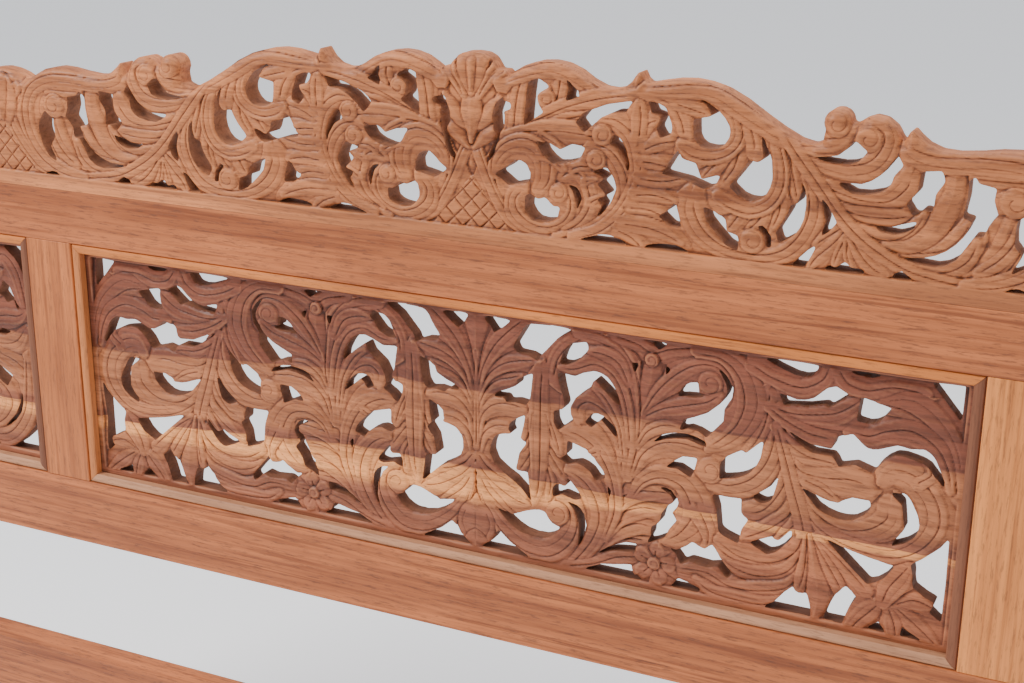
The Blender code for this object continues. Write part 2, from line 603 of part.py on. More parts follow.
# ---------------------------------------------------------------- bed fittings
def rail_plate(name, side, post, look):
    """A steel plate let into a post's front face, with two screws; the bed's side rail hooks on it."""
    x = side * (POST_INNER + POST_WIDTH / 2)
    low = (x - PLATE_WIDTH / 2, FRAME_FRONT, PLATE_CENTRE - PLATE_HEIGHT / 2)
    high = (x + PLATE_WIDTH / 2, FRAME_FRONT + PLATE_THICKNESS, PLATE_CENTRE + PLATE_HEIGHT / 2)
    plate = block(name, low, high, look)
    pocket_low = (low[0] - GAP, low[1] - PLATE_THICKNESS, low[2] - GAP)
    pocket_high = (high[0] + GAP, high[1] + GAP, high[2] + GAP)
    pocket = block(name + "_pocket", pocket_low, pocket_high, look)
    combine(post, pocket, "DIFFERENCE")
    head = (SCREW_HEAD, SCREW_HEAD_DEPTH)
    head_room = (SCREW_HEAD + SCREW_ROOM + GAP, SCREW_HEAD_DEPTH + SCREW_ROOM)
    hole_length = SCREW_LENGTH + SCREW_ROOM + GAP
    for place, z in (("upper", PLATE_CENTRE + SCREW_OFFSET), ("lower", PLATE_CENTRE - SCREW_OFFSET)):
        screw_name = f"{name}_{place}_screw"
        rod(screw_name, (x, FRAME_FRONT, z), (0, 1, 0), SCREW_LENGTH, SCREW_RADIUS, look, head)
        start = (x, FRAME_FRONT - SCREW_ROOM, z)
        room = rod(screw_name + "_hole", start, (0, 1, 0), hole_length, SCREW_RADIUS + GAP, look, head_room)
        combine(plate, room, "DIFFERENCE")
        combine(post, room, "DIFFERENCE")


# ---------------------------------------------------------------- assembly
for old in list(bpy.data.objects):
    bpy.data.objects.remove(old, do_unlink=True)

PEG_WOOD = teak("peg_wood", 0.15)

post_look = teak("post_teak", 0.75)
post_span = (POST_INNER, HALF_WIDTH)
posts = {}
for side, name in ((-1, "left_post"), (1, "right_post")):
    low_x, high_x = sorted(side * x for x in post_span)
    posts[side] = block(name, (low_x, FRAME_FRONT, 0), (high_x, FRAME_BACK, RAIL_TOP), post_look)

rail_look = teak("rail_teak", 0.6)
bottom_rail_low = OPENING_BOTTOM - BOTTOM_RAIL_HEIGHT
top_rail = rail("top_rail", OPENING_TOP, RAIL_TOP, rail_look, posts)
bottom_rail = rail("bottom_rail", bottom_rail_low, OPENING_BOTTOM, rail_look, posts)
foot_rail = rail("foot_rail", FOOT_RAIL_LOW, FOOT_RAIL_HIGH, rail_look, posts)
stile_look = teak("stile_teak", 0.85)
stile("left_stile", -1, stile_look, top_rail, bottom_rail)
stile("right_stile", 1, stile_look, top_rail, bottom_rail)

crest_board = crest(teak("crest_teak", 0.5))
dowelled(crest_board, top_rail)
middle_panel(teak("middle_panel_teak", 0.4))
side_panel("left_panel", -1, teak("left_panel_teak", 0.35))
side_panel("right_panel", 1, teak("right_panel_teak", 0.35))

bead_look, stop_look = teak("bead_teak", 1.0), teak("stop_teak", 0.5)
for prefix, centre_x, half_x in (
    ("middle", 0, MIDDLE_HALF),
    ("left", -SIDE_CENTRE, SIDE_HALF),
    ("right", SIDE_CENTRE, SIDE_HALF),
):
    mitred_strips(prefix + "_bead", centre_x, half_x, bead_profile(), bead_look)
    mitred_strips(prefix + "_stop", centre_x, half_x, stop_profile(), stop_look)

plate_look = steel("plate_steel")
rail_plate("left_rail_plate", -1, posts[-1], plate_look)
rail_plate("right_rail_plate", 1, posts[1], plate_look)
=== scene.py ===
"""The look of a carved teak headboard: relief, worn and grained wood, studio light and camera.

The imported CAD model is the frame. Its pierced boards give the outlines; the carving on them is
worked out here from strokes, each a leaf, rib, band or boss that the carver would cut in turn.
Carving plans are in millimetres. A panel's plan has x across and the drop below the sight edge;
the crest's plan has x across and the rise above that edge. A plan holds one side of a mirror line.
"""
import math
from functools import partial

import bpy
import bmesh
import numpy as np
from mathutils import Matrix, Vector
from mathutils.geometry import delaunay_2d_cdt


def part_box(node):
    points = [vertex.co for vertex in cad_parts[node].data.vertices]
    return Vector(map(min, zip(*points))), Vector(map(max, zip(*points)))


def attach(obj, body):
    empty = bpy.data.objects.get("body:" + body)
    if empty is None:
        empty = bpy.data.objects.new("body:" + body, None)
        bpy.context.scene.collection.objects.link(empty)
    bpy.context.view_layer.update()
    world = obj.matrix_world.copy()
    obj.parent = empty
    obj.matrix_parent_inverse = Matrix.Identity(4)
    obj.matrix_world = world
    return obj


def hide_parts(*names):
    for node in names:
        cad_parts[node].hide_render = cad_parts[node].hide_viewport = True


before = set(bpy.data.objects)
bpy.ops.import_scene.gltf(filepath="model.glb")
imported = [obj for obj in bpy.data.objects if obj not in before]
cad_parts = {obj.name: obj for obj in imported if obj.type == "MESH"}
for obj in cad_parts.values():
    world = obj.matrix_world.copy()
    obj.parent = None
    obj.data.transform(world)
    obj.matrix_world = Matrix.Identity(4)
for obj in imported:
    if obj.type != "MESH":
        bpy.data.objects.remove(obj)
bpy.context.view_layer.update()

MM = 0.001
SIGHT_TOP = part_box("middle_bead_top")[0].z / MM
SIGHT_HEIGHT = SIGHT_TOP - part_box("middle_bead_bottom")[1].z / MM

# ---- how the carving is cut
CELL = 1.25  # mm between points of a carved surface
SNAP = 0.15 * CELL  # an outline stays this far from grid points
GROUND = 1.0  # mm from the board's face down to level 0
EDGE_ROUND = 3.6  # mm over which a stroke rolls down to its edge
EDGE_DROP = 1.7  # mm it falls there
UNTOUCHED = -EDGE_DROP - 2.0  # level of wood that no stroke reaches
REACH = 16.0  # mm beyond a stroke's edge that it may claim
UNCLAIMED = -99.0  # inset of points that no stroke has claimed yet
ROOT = 0.16  # share of a stroke's length over which its edge comes up out of the wood
UNDERCUT = 8.0  # a stroke dips this near to one that lies over it
UNDERCUT_DROP = 1.7
DEEPEST = -8.0
VALLEY_SLOPE = 0.16  # fall beyond a stroke's edge, into the crease beside its neighbour
TILT, TILT_FULL = 0.9, 10.0  # a leaf's outer side stands higher, in full from this half width
RIDGE_FALL = 2.4  # from a ridge's top to its sides
VEIN_WIDTH = 1.4
VEIN_DEPTH = 2.0
VEIN_START, VEIN_END = 0.06, 0.10  # shares of a stroke's length over which its veins fade
VEIN_EASE = 2.0  # mm of half width over which a vein comes in
EYE_DEPTH = 1.4  # of the spiral groove on a boss
EYE_DOME = 0.9  # how far a boss rises to its middle
EYE_INNER, EYE_OUTER = 0.26, 0.90  # where the spiral starts and ends, as shares of the boss's radius
EYE_TURN = 0.62  # share of a round that it is turned by
HOLE_ROUND = 2.6  # rolling down beside a sawn opening
HOLE_DROP = 1.0
RIM_ROUND = 11.0  # the crest's upper edge is rounded over more
RIM_DROP = 6.5
MARK_SIZE = 0.16  # mm of unevenness left by gouges
SMOOTHING = 0.25  # share of its neighbours that a point takes on at the end
HOLLOW_GAIN, HOLLOW_REACH = 0.33, 6  # how strongly and how widely hollows are told from raised tops
BORDER, BORDER_LEVEL = 6.5, -0.8  # plain strip round a panel's carving
BAND = 20.0  # mm either side of an outline where distances are worked out
SAME_PLANE = 0.05  # mm; a CAD point this near to the front lies on it
CARVED_ANGLE = 58  # degrees; sharper edges of a carved board stay sharp
OUTER_EDGE = 2 * CELL  # a wall this near to the outer outline belongs to it
OUTLINE_BLUR = 2  # times that the distance from the outlines is smoothed
TESTS_AT_ONCE = 400  # points of a flat back tested together, to save memory

# ---- carving plans
# Each stroke is its kind, or nothing for a lobe, and its level in mm; then the points of its spine:
# x, height or drop, and half width. A line is a groove cut into what is there, as deep as its level.
PANEL_PLAN = [
    # centre stem and its fronds
    "stem -1.5: 0 60 3, 0 100 8, 0 140 13, 0 170 18, 0 195 17, 0 225 12, 0 246 4",
    "-.5: 4 170 5, 10 150 7, 24 138 8, 44 134 4",
    "0: 3 150 4, 8 128 6, 22 113 9, 42 108 8, 62 111 4",
    "-.5: 3 120 3, 13 95 5, 28 82 8, 46 76 7, 58 70 2",
    "0: 3 107 3, 14 80 6, 34 62 9, 58 54 8, 80 50 2.5",
    "-.3: 3 95 4, 10 68 7, 24 42 11, 42 22 13, 62 4 12",
    "ridge 0: 0 4 10, 0 14 15, 0 26 12, 0 45 7, 0 70 3",
    # leaf spreading at the foot of the stem
    "-.5: 3 176 6, 14 190 8, 28 198 8, 46 203 4",
    "0: 4 190 6, 18 206 11, 40 220 12, 56 226 8, 69 227 2",
    "-.4: 6 205 6, 16 222 9, 32 236 9, 49 246 2",
    # big lower scroll with its eye
    "band 0: 5 215 4, 18 240 8, 38 263 12, 64 279 14, 92 280 15, 114 263 14, 124 241 11, 120 222 8, "
    "107 214 6",
    "boss .5: 104 230 14.5",
    "ridge .2: 0 228 2, 0 244 12, 0 262 25, 0 278 17, 0 290 8, 0 301 7",
    # hanging leaf
    "band 0: 93 66 8, 97 46 8, 107 30 8, 124 17 7, 140 10 6",
    "-.4: 74 150 5, 64 170 8, 56 184 5",
    "-.4: 85 150 5, 98 168 9, 110 184 5",
    "-.2: 74 118 6, 66 138 8, 58 158 5",
    "-.2: 86 110 6, 97 132 9, 105 156 5",
    "-.6: 84 170 5, 94 192 7, 92 214 4",
    ".4: 82 58 9, 80 90 11, 80 130 13, 80 165 11, 79 200 8, 75 224 3",
    # the great fan
    "-.6: 142 282 6, 165 258 9, 188 246 9, 214 242 4",
    "0: 150 270 6, 172 242 11, 198 226 12, 220 224 6",
    "-.4: 158 255 6, 176 222 12, 202 206 12, 230 202 5",
    "0: 165 240 6, 176 205 11, 195 188 12, 220 182 9, 240 180 5",
    "-.3: 122 292 6, 138 272 10, 150 252 12, 157 228 13, 152 205 12, 141 188 10, 126 178 7, 114 176 4",
    "0: 163 250 4, 174 215 8, 172 185 10, 163 160 13, 148 140 12, 128 129 8, 107 127 4",
    "-.5: 150 146 6, 140 152 4, 136 158 2",
    "0: 182 165 5, 177 130 7, 168 108 8, 155 93 9, 138 88 9, 126 97 9, 128 110 7",
    ".2: 183 150 4, 178 115 6, 169 94 7, 158 79 7, 146 71 4",
    "band 0: 188 170 4, 195 130 6, 197 95 7, 194 65 8, 186 40 10, 170 22 12, 150 13 12, 125 10 8",
    ".2: 190 130 5, 186 95 7, 178 68 8, 165 50 9, 145 43 10, 122 52 8, 104 54 4",
    "-.4: 186 60 5, 174 38 9, 156 30 9, 138 30 4",
    # rosette's stem and the small flower at the top
    "stem -.5: 118 294 6, 150 284 8, 178 270 9, 205 264 8",
    "stem -1.5: 168 8 8, 195 14 9, 211 22 10, 232 14 9, 262 8 9",
    "ridge -.3: 202 92 2, 206 70 8, 211 52 13, 212 36 10",
    "boss .3: 211 29 8",
    # right-hand side of the fan
    "0: 203 92 3, 219 65 8, 240 42 9, 262 28 8, 284 27 7, 297 42 6, 294 56 6",
    "boss .5: 278 45 14",
    "-.4: 203 97 3, 225 84 8, 250 76 10, 275 68 9, 290 56 4",
    "0: 199 130 4, 210 112 6, 228 102 6.5, 247 101 4",
    "-.3: 195 165 4, 205 140 7, 225 124 9, 250 120 9, 278 123 6",
    "band .2: 192 192 4, 205 170 8, 228 158 11, 254 163 14, 270 185 18, 271 207 18, 255 228 12, 234 240 5",
    ".2: 272 195 12, 283 218 8, 282 238 2",
    # scroll with its eye, and the leaf that falls over it
    "band -.3: 345 58 6, 353 85 9, 354 108 12, 346 132 13, 329 152 13, 305 162 11, 285 160 8",
    "boss .5: 282 144 15",
    "-.5: 342 45 9, 339 78 9, 331 100 7, 322 115 2",
    "band .2: 262 10 8, 292 12 10, 315 30 14, 324 60 16, 315 88 13, 298 107 10, 279 120 5",
    # garlands under the top border
    "0: 322 18 8, 345 29 8, 376 35 10, 398 23 9, 405 5 8",
    "-.2: 342 60 6, 365 65 8, 390 63 10, 415 57 12, 434 43 9, 441 33 4",
    ".2: 343 62 5, 362 74 8, 388 84 10, 412 86 8",
    "0: 412 8 7, 424 23 9, 445 27 8, 470 20 8, 500 22 10",
    "band -.3: 462 36 5, 490 36 16, 515 52 16, 532 75 14, 542 105 9, 545 125 6",
    "0: 433 74 5, 450 76 10, 468 68 12, 492 64 14, 516 76 12, 529 95 8, 536 120 5",
    # leaves right of the falling branch
    "-.2: 350 82 5, 366 99 8, 388 110 10, 410 112 9, 419 114 4",
    ".2: 362 112 6, 382 128 10, 408 131 14, 432 128 15, 450 130 14",
    "-.2: 385 136 5, 405 143 7, 424 154 2",
    "0: 378 146 4, 396 170 7, 424 184 10, 454 181 13, 475 165 15, 477 148 14",
    "band .2: 376 140 3, 388 168 6, 416 190 7, 450 200 9, 484 200 10, 508 185 13, 521 160 15, 516 135 15, "
    "497 116 14, 478 112 12, 468 122 8",
    ".3: 503 118 8, 516 106 6, 511 95 2",
    # leaves left of it
    "0: 367 108 6, 366 135 8, 356 160 10, 342 178 12, 327 184 9",
    "-.2: 380 150 5, 373 175 9, 355 194 11, 337 207 8, 321 216 3",
    ".2: 384 165 5, 379 185 7, 368 200 6, 357 212 2",
    "stem -1.2: 352 80 5, 362 110 7, 373 145 9, 386 185 10, 392 215 8",
    # broad leaf along the bottom
    "0: 388 200 5, 378 223 9, 352 238 11, 320 237 11, 294 224 5",
    "-.4: 392 215 5, 372 245 10, 342 256 12, 315 252 8, 300 243 4",
    ".2: 394 235 4, 375 262 9, 345 273 11, 312 276 9, 285 265 8, 250 266 6",
    "-.4: 392 250 4, 378 276 7, 350 289 10, 318 290 11, 290 287 8, 272 276 5",
    # fan pointing down to the border
    ".2: 392 198 3, 392 225 6, 390 248 8, 387 262 5",
    "0: 398 198 3, 420 213 6, 443 233 9, 460 249 8",
    "-.3: 397 200 3, 412 222 7, 425 242 9, 433 254 6",
    "ridge .3: 395 198 3, 402 230 7, 408 258 13, 408 275 12, 406 290 7, 406 302 7",
    # corner blossom
    "-.2: 492 258 6, 508 250 10, 520 251 8, 531 254 3",
    ".2: 492 262 5, 510 275 11, 527 288 9, 540 299 4",
    "-.2: 484 264 4, 490 280 10, 494 300 8",
    "0: 472 262 6, 463 272 12, 451 287 10, 444 301 7",
    ".3: 478 258 7, 484 241 13, 494 225 13, 502 211 6",
    "flower .3: 222 268 26",
    # grooves cut last: the stem's middle, the hanging leaf's midrib and the pendant's folds
    "stem -1.9: 0 50 1.2, 0 75 2.4, 0 105 3.4, 0 140 4.2, 0 168 4.8",
    "line 1.1: 0 198 1.4, 0 222 2, 0 244 1.6",
    "line 1.2: 0 248 1.4, 0 266 1.8, 0 284 1.4",
    "line 1.6: 1 270 1.5, 10 276 1.8, 15 284 1.5",
    "line 1.2: 14 250 1.3, 18 264 1.6, 13 278 1.3",
    "line 1.3: 72 112 1.3, 69 135 1.6, 62 152 1.3",
    "line 1.3: 88 112 1.3, 94 135 1.6, 101 150 1.3",
]

SIDE_PLAN = [
    "0: 4 70 4, 20 62 8, 40 58 9, 56 46 7",
    "-.3: 46 30 10, 66 22 12, 84 40 12, 92 70 10, 96 100 6",
    "0: 4 130 5, 24 140 9, 48 146 12, 74 140 13, 92 120 8",
    "-.3: 6 118 4, 34 112 8, 58 106 11, 80 104 10, 94 96 5",
    ".2: 20 146 5, 46 160 10, 72 170 14, 88 186 12, 94 215 8",
    "band 0: 92 160 7, 90 200 11, 84 236 13, 62 268 13, 36 282 12, 8 276 9",
    ".3: 20 192 4, 44 206 14, 56 226 15, 44 248 12, 24 264 5",
    "-.3: 4 190 5, 16 206 8, 36 214 4",
    "stem -.5: 0 4 9, 0 60 8, 0 130 10, 0 200 9, 0 262 10, 0 298 8",
    "ridge .2: 0 4 8, 0 22 12, 0 44 10, 0 66 4",
    "ridge .2: 0 148 3, 0 172 10, 0 196 11, 0 220 6",
]

CREST_PLAN = [
    # strands beside the lattice, and the palmette's body
    "band -1.2: 24 172 6, 25 148 9, 35 123 10, 52 106 9, 75 98 7",
    "ridge -1.2: 0 168 6, 0 182 18, 0 200 23, 0 225 25, 0 247 27, 0 262 24",
    "band -.6: -4 199 5, 6 183 7, 17 158 7, 29 133 7, 44 111 7, 60 98 5",
    # palmette
    "ridge -.4: 3 184 4, 13 194 8, 24 203 8, 33 206 4",
    "ridge -.1: 4 205 5, 15 216 9, 26 228 9, 34 238 4",
    "ridge .5: 0 190 3, 0 208 8, 0 224 13, 0 236 10, 0 247 3",
    "-.2: 9 240 4, 17 254 7, 28 268 8",
    "ridge .3: 0 243 5, 0 256 12, 0 270 18, 0 285 20",
    "ridge 1.4: 0 247 3, 0 262 5, 0 276 6",
    "line 1.5: 12 247 1.4, 22 262 1.8, 27 270 1.5",
    # first arch, its strand and eye
    "-.8: 62 268 8, 57 250 9, 54 232 9, 52 212 9, 46 196 8",
    "-.4: 104 270 7, 104 256 9, 100 243 8, 92 236 6",
    "band 0: 34 256 7, 58 267 10, 85 275 11, 105 274 11, 125 265 11, 143 254 9, 160 252 9, 178 261 8, "
    "190 273 4",
    "boss .3: 88 243 10.5",
    # long leaf below it
    "-.3: 62 213 4, 85 225 8, 110 237 9, 140 247 10, 165 252 8, 186 255 7",
    "-.7: 90 216 6, 112 224 7, 133 231 3",
    "0: 38 198 7, 65 207 8, 95 211 12, 125 211 12, 150 207 8",
    "-.3: 83 205 5, 98 198 5, 107 191 2",
    # inner spirals
    "band -.4: 60 146 7, 50 134 9, 52 118 11, 68 105 10, 90 101 9, 111 109 10, 121 125 8, 120 142 7, "
    "110 150 6",
    "-.8: 104 160 6, 115 168 8, 130 166 9, 139 150 9, 140 132 8, 130 115 8, 112 102 7",
    "-.6: 134 160 5, 147 164 2",
    "-.6: 140 138 5, 150 144 4, 160 148 2",
    "-.2: 118 172 6, 128 176 6, 138 176 5",
    "band 0: 28 158 6, 30 174 8, 44 189 10, 66 194 12, 85 182 13, 88 160 12, 80 145 8",
    "boss .3: 104 145 10.5",
    "-.2: 84 185 8, 95 180 6, 108 172 6",
    # the two bands of the great ring
    "band -.2: 140 196 8, 160 191 10, 174 173 10, 177 150 9, 168 130 9, 150 114 8, 125 102 6, 100 97 4",
    "boss .3: 146 184 11",
    "band 0: 148 224 5, 165 224 9, 182 212 10, 190 192 10, 191 170 9, 184 148 9, 170 127 8, 148 109 7, "
    "120 99 6",
    "boss .4: 152 211 11.5",
    # leaf behind the great ring
    "-.7: 172 112 7, 188 106 8, 199 97 5",
    "-.2: 178 120 9, 205 119 10, 225 114 8, 243 106 4",
    "-.6: 185 138 8, 205 138 8, 221 133 6",
    "-.2: 190 152 8, 212 154 9, 234 149 4",
    "-.5: 194 170 8, 215 169 9, 236 173 7, 251 180 3",
    "-.2: 197 188 7, 212 187 8, 227 184 4",
    "-.5: 198 200 7, 214 208 9, 234 212 4",
    "-.2: 193 210 8, 200 226 9, 212 232 5",
    "-.4: 192 212 8, 193 232 9, 192 246 6",
    # second arch
    "-.3: 205 256 5, 226 249 8, 238 234 9, 243 217 8",
    "-.5: 232 250 8, 252 245 7, 269 240 2",
    "-.6: 300 208 8, 296 190 8, 285 174 4",
    "-.3: 285 202 8, 274 189 7, 262 176 3",
    "band -.1: 280 256 6, 294 240 8, 298 222 9, 288 207 9, 268 200 10, 250 203 10, 238 209 6",
    "-.2: 298 256 4, 308 238 9, 316 218 11, 316 208 10",
    "-.4: 350 215 5, 355 195 9, 360 176 8, 362 165 5",
    "-.6: 310 152 8, 301 138 9, 292 126 4",
    "-.3: 328 155 8, 325 140 8, 314 128 5",
    "-.5: 343 168 8, 345 150 7, 336 128 2",
    "band 0: 318 240 3, 334 222 6, 342 200 8, 343 178 9, 334 159 9, 315 149 9, 294 153 9, 280 160 7",
    "band -.1: 195 259 7, 220 262 9, 250 265 10, 275 262 11, 298 250 12, 320 238 12, 345 226 12, "
    "370 222 11, 395 225 9, 409 236 7",
    "boss .4: 396 243 13.5",
    # the third ring
    "band -.1: 252 158 9, 250 142 12, 260 122 12, 280 107 10, 305 100 9, 330 100 9, 353 108 10, "
    "370 126 11, 379 150 11, 377 172 9, 368 192 5",
    "boss .4: 318 117 13",
]

WING_PLAN = [
    # curl that ends the second arch's branch
    "band 0: 366 208 6, 390 201 9, 415 199 11, 436 207 12, 447 225 11, 445 240 9, 432 246 7",
    "boss .4: 428 231 13",
    # leaves of the slanting branch
    "-.2: 385 182 5, 405 176 8, 430 171 9, 452 174 12, 466 187 13, 470 197 11",
    "-.5: 398 163 5, 420 157 8, 445 156 9, 463 158 8, 474 161 3",
    "-.2: 410 148 5, 430 138 8, 455 134 9, 475 145 9, 487 163 4",
    "-.6: 470 122 6, 505 130 10, 522 145 8, 531 162 2",
    "ridge -.1: 450 128 5, 475 130 8, 495 145 11, 505 165 12, 512 185 10, 513 204 10",
    "-.5: 530 103 6, 560 110 9, 575 128 6, 580 142 2",
    "ridge -.1: 500 104 5, 530 108 8, 552 125 9, 562 145 9, 567 168 7",
    "-.3: 450 116 5, 480 108 8, 510 109 9, 530 122 9, 539 142 4",
    # fan at the branch's foot
    "-.3: 412 142 5, 397 131 9, 384 121 5",
    "-.5: 412 138 5, 400 122 8, 385 107 7, 378 96 4",
    "-.3: 412 130 4, 406 114 5, 403 102 3.5",
    "-.5: 414 130 4, 416 112 5, 420 103 3.5",
    "-.1: 416 135 5, 430 116 9, 442 105 10, 452 100 8",
    "stem 0: 340 232 5, 362 206 8, 382 182 8, 402 157 8, 422 137 8, 445 121 8, 475 106 7, 510 99 7, "
    "545 96 5",
    # top strand of the wing, and its inner scroll
    "-.5: 532 203 6, 555 203 9, 578 203 9",
    "-.6: 576 162 5, 572 142 8, 560 125 8, 543 111 7",
    "band -.1: 467 236 4, 469 222 10, 490 215 11, 515 215 11, 545 217 11, 575 215 11, 600 204 11, "
    "613 184 11, 614 160 11, 605 135 11, 587 115 11, 560 103 9, 530 98 6",
    "boss .3: 570 183 15",
    # second palmette and the strands beside its lattice
    "-1.2: 655 150 10, 655 170 20, 655 190 26, 640 196 20",
    "band -.5: 650 178 7, 636 152 8, 620 129 8, 601 109 8, 580 98 6",
    "-.2: 652 172 5, 640 188 8, 628 200 8",
    "ridge 0: 655 160 5, 655 180 9, 655 205 13",
]
WING_CENTRE = 655.0  # mirror line of the wing's plan

END_PLAN = [
    "band 0: 885 98 7, 908 108 9, 926 128 10, 935 155 10, 932 180 10, 920 200 9, 908 212 7",
    "boss .4: 904 222 13",
]

CREST_FOOT = 78.3  # the crest plan's rise at the foot of the board
STRIP_TOP = CREST_FOOT + 17.2  # top of the plain strip along the crest's foot
STRIP_LEVEL = GROUND - 0.1
RIM_START = STRIP_TOP + 3  # the rounded edge starts here

LATTICES = ((0, 153), (WING_CENTRE, 160))  # x and rise of each lattice's apex
LATTICE_HALF, LATTICE_SLOPE = 46.0, 1.22
LATTICE_PITCH = 21.0
LATTICE_LEVEL, LATTICE_DEPTH, LATTICE_GROOVE = -2.6, 2.4, 1.5  # diamonds, and the grooves between them

PETALS, PETAL_TURN = 5, 0.2  # of a rosette, the first one turned by this angle
PETAL = ((0.1, 0.16), (0.55, 0.36), (0.64, 0.38))  # spine: reach and half width, shares of the radius
PETAL_SINK, BUD_RISE, BUD = 0.3, 0.6, 0.3

# Grooves along a stroke: (share of its half width, share of the full depth, least half width)
VEINS = {
    "lobe": ((-0.12, 1.0, 2.5), (0.50, 0.40, 8.0)),
    "band": ((0.45, 1.0, 3.0), (-0.38, 0.6, 6.5)),
    "stem": ((0.0, 1.0, 2.5), (0.5, 0.35, 9.0), (-0.5, 0.35, 9.0)),
    "ridge": (),
    "boss": (),
}


# ---- strokes
def strokes_of(plan):
    """A plan's strokes as (kind, level, points), with each rosette turned into petals."""
    strokes = []
    for text in plan:
        head, spine_text = text.split(":")
        *kind, level = head.split()
        kind = kind[0] if kind else "lobe"
        points = [tuple(float(v) for v in point.split()) for point in spine_text.split(",")]
        strokes += flower(float(level), *points[0]) if kind == "flower" else [(kind, float(level), points)]
    return strokes


def flower(level, x, z, radius):
    """A rosette's petals and its bud."""
    petals = []
    for k in range(PETALS):
        angle = 2 * math.pi * k / PETALS + PETAL_TURN
        out_x, out_z = math.sin(angle), -math.cos(angle)
        points = [(x + r * radius * out_x, z + r * radius * out_z, w * radius) for r, w in PETAL]
        petals.append(("lobe", level - PETAL_SINK, points))
    return petals + [("boss", level + BUD_RISE, [(x, z, BUD * radius)])]


def mirrored(strokes, centre):
    return [(kind, level, [(2 * centre - x, z, w) for x, z, w in points])
            for kind, level, points in strokes]


def spine(points, spacing=2.5):
    """A smooth spine through a stroke's points, with its half width as the third number."""
    p = np.array(points, float)
    if len(p) == 1:
        return np.vstack([p, p + [0.01, 0, 0]])
    padded = np.vstack([2 * p[0] - p[1], p, 2 * p[-1] - p[-2]])
    out = []
    for a, b, c, d in zip(padded[:-3], padded[1:-2], padded[2:-1], padded[3:]):
        count = max(2, int(np.hypot(*(c - b)[:2]) / spacing))
        t = np.linspace(0, 1, count, endpoint=False)[:, None]
        curve = 2 * b + (c - a) * t + (2 * a - 5 * b + 4 * c - d) * t**2 + (3 * b - a - 3 * c + d) * t**3
        out.append(curve / 2)
    return np.vstack(out + [p[-1:]])


def measure(points, x, z):
    """At grid points: inset from the stroke's edge, side from -1 to 1, share along it, half width."""
    line = spine(points)
    a, b = line[:-1], line[1:]
    step = (b - a)[:, :2]
    px = x.ravel()[:, None] - a[:, 0]
    pz = z.ravel()[:, None] - a[:, 1]
    t = np.clip((px * step[:, 0] + pz * step[:, 1]) / (step**2).sum(1), 0, 1)
    away = np.hypot(px - t * step[:, 0], pz - t * step[:, 1])
    half = a[:, 2] + t * (b - a)[:, 2]
    best = (half - away).argmax(1)
    row = np.arange(len(best))
    side = np.sign(step[best, 0] * pz[row, best] - step[best, 1] * px[row, best])
    half, away, t = half[row, best], away[row, best], t[row, best]
    values = (half - away, side * away / np.maximum(half, 0.1), (best + t) / len(a), half)
    return [v.reshape(x.shape) for v in values]


def relief(strokes, x, z):
    """Height of the carved surface at grid points, from the strokes in cutting order."""
    height = np.full(x.shape, UNTOUCHED)
    claim = np.full(x.shape, UNCLAIMED)
    for kind, level, points in strokes:
        p = np.array(points, float)
        margin = p[:, 2].max() + REACH
        columns = np.where((x[0] > p[:, 0].min() - margin) & (x[0] < p[:, 0].max() + margin))[0]
        rows = np.where((z[:, 0] > p[:, 1].min() - margin) & (z[:, 0] < p[:, 1].max() + margin))[0]
        window = (slice(rows[0], rows[-1] + 1), slice(columns[0], columns[-1] + 1))
        inset, side, along, half = measure(points, x[window], z[window])
        if kind == "line":
            height[window] -= level * np.clip(inset / half, 0, 1)
            continue
        roll = np.minimum(EDGE_ROUND, half)
        q = 1 - np.clip(inset / np.maximum(roll, 0.1), 0, 1)
        rooted = np.ones_like(along) if kind in ("ridge", "boss") else np.clip(along / ROOT, 0, 1)
        own = level - EDGE_DROP * rooted * (1 - np.sqrt(np.clip(1 - q * q, 0, 1)))
        own += VALLEY_SLOPE * np.minimum(inset, 0)
        if kind == "ridge":
            own -= RIDGE_FALL * np.abs(np.clip(side, -1, 1))
        if kind in ("lobe", "band"):
            own += TILT * np.clip(side, -1, 1) * np.clip(half / TILT_FULL, 0, 1)
        if kind == "boss":
            own += EYE_DOME * np.sqrt(np.clip(inset / half, 0, 1))
            turn = (np.arctan2(z[window] - p[0, 1], x[window] - p[0, 0]) / (2 * math.pi) + EYE_TURN) % 1
            spiral = (EYE_INNER + (EYE_OUTER - EYE_INNER) * turn) * half
            own -= EYE_DEPTH * np.clip(1 - np.abs(half - inset - spiral) / VEIN_WIDTH, 0, 1)
        fade = np.clip(along / VEIN_START, 0, 1) * np.clip((1 - along) / VEIN_END, 0, 1)
        for vein, share, least in VEINS[kind]:
            groove = np.clip(1 - np.abs(side - vein) * half / VEIN_WIDTH, 0, 1)
            own -= share * VEIN_DEPTH * groove * fade * np.clip((half - least) / VEIN_EASE, 0, 1)
        old_height, old_claim = height[window], claim[window]
        covered = np.clip(0.5 + old_claim / CELL, 0, 1)
        tucked = rooted * np.clip(1 + inset / UNDERCUT, 0, 1) ** 2 * covered
        dipped = np.maximum(old_height - UNDERCUT_DROP * tucked, np.minimum(old_height, DEEPEST))
        nearer = np.clip(0.5 + (inset - old_claim) / CELL, 0, 1) * (old_claim <= 0)
        weight = np.maximum(np.clip(0.5 + inset / CELL, 0, 1), nearer)
        height[window] = dipped + weight * (own - dipped)
        claim[window] = np.where((inset > 0) | (inset > old_claim), np.minimum(inset, 1.0), old_claim)
    return height


def folded_relief(strokes, x, z, centre):
    """The relief of one half, on a whole grid whose middle column lies on the mirror line."""
    columns = x.shape[1]
    right = slice(columns // 2, columns)
    half = relief(strokes, np.abs(x[:, right] - centre), z[:, right])
    return np.hstack([half[:, ::-1][:, :columns // 2], half])


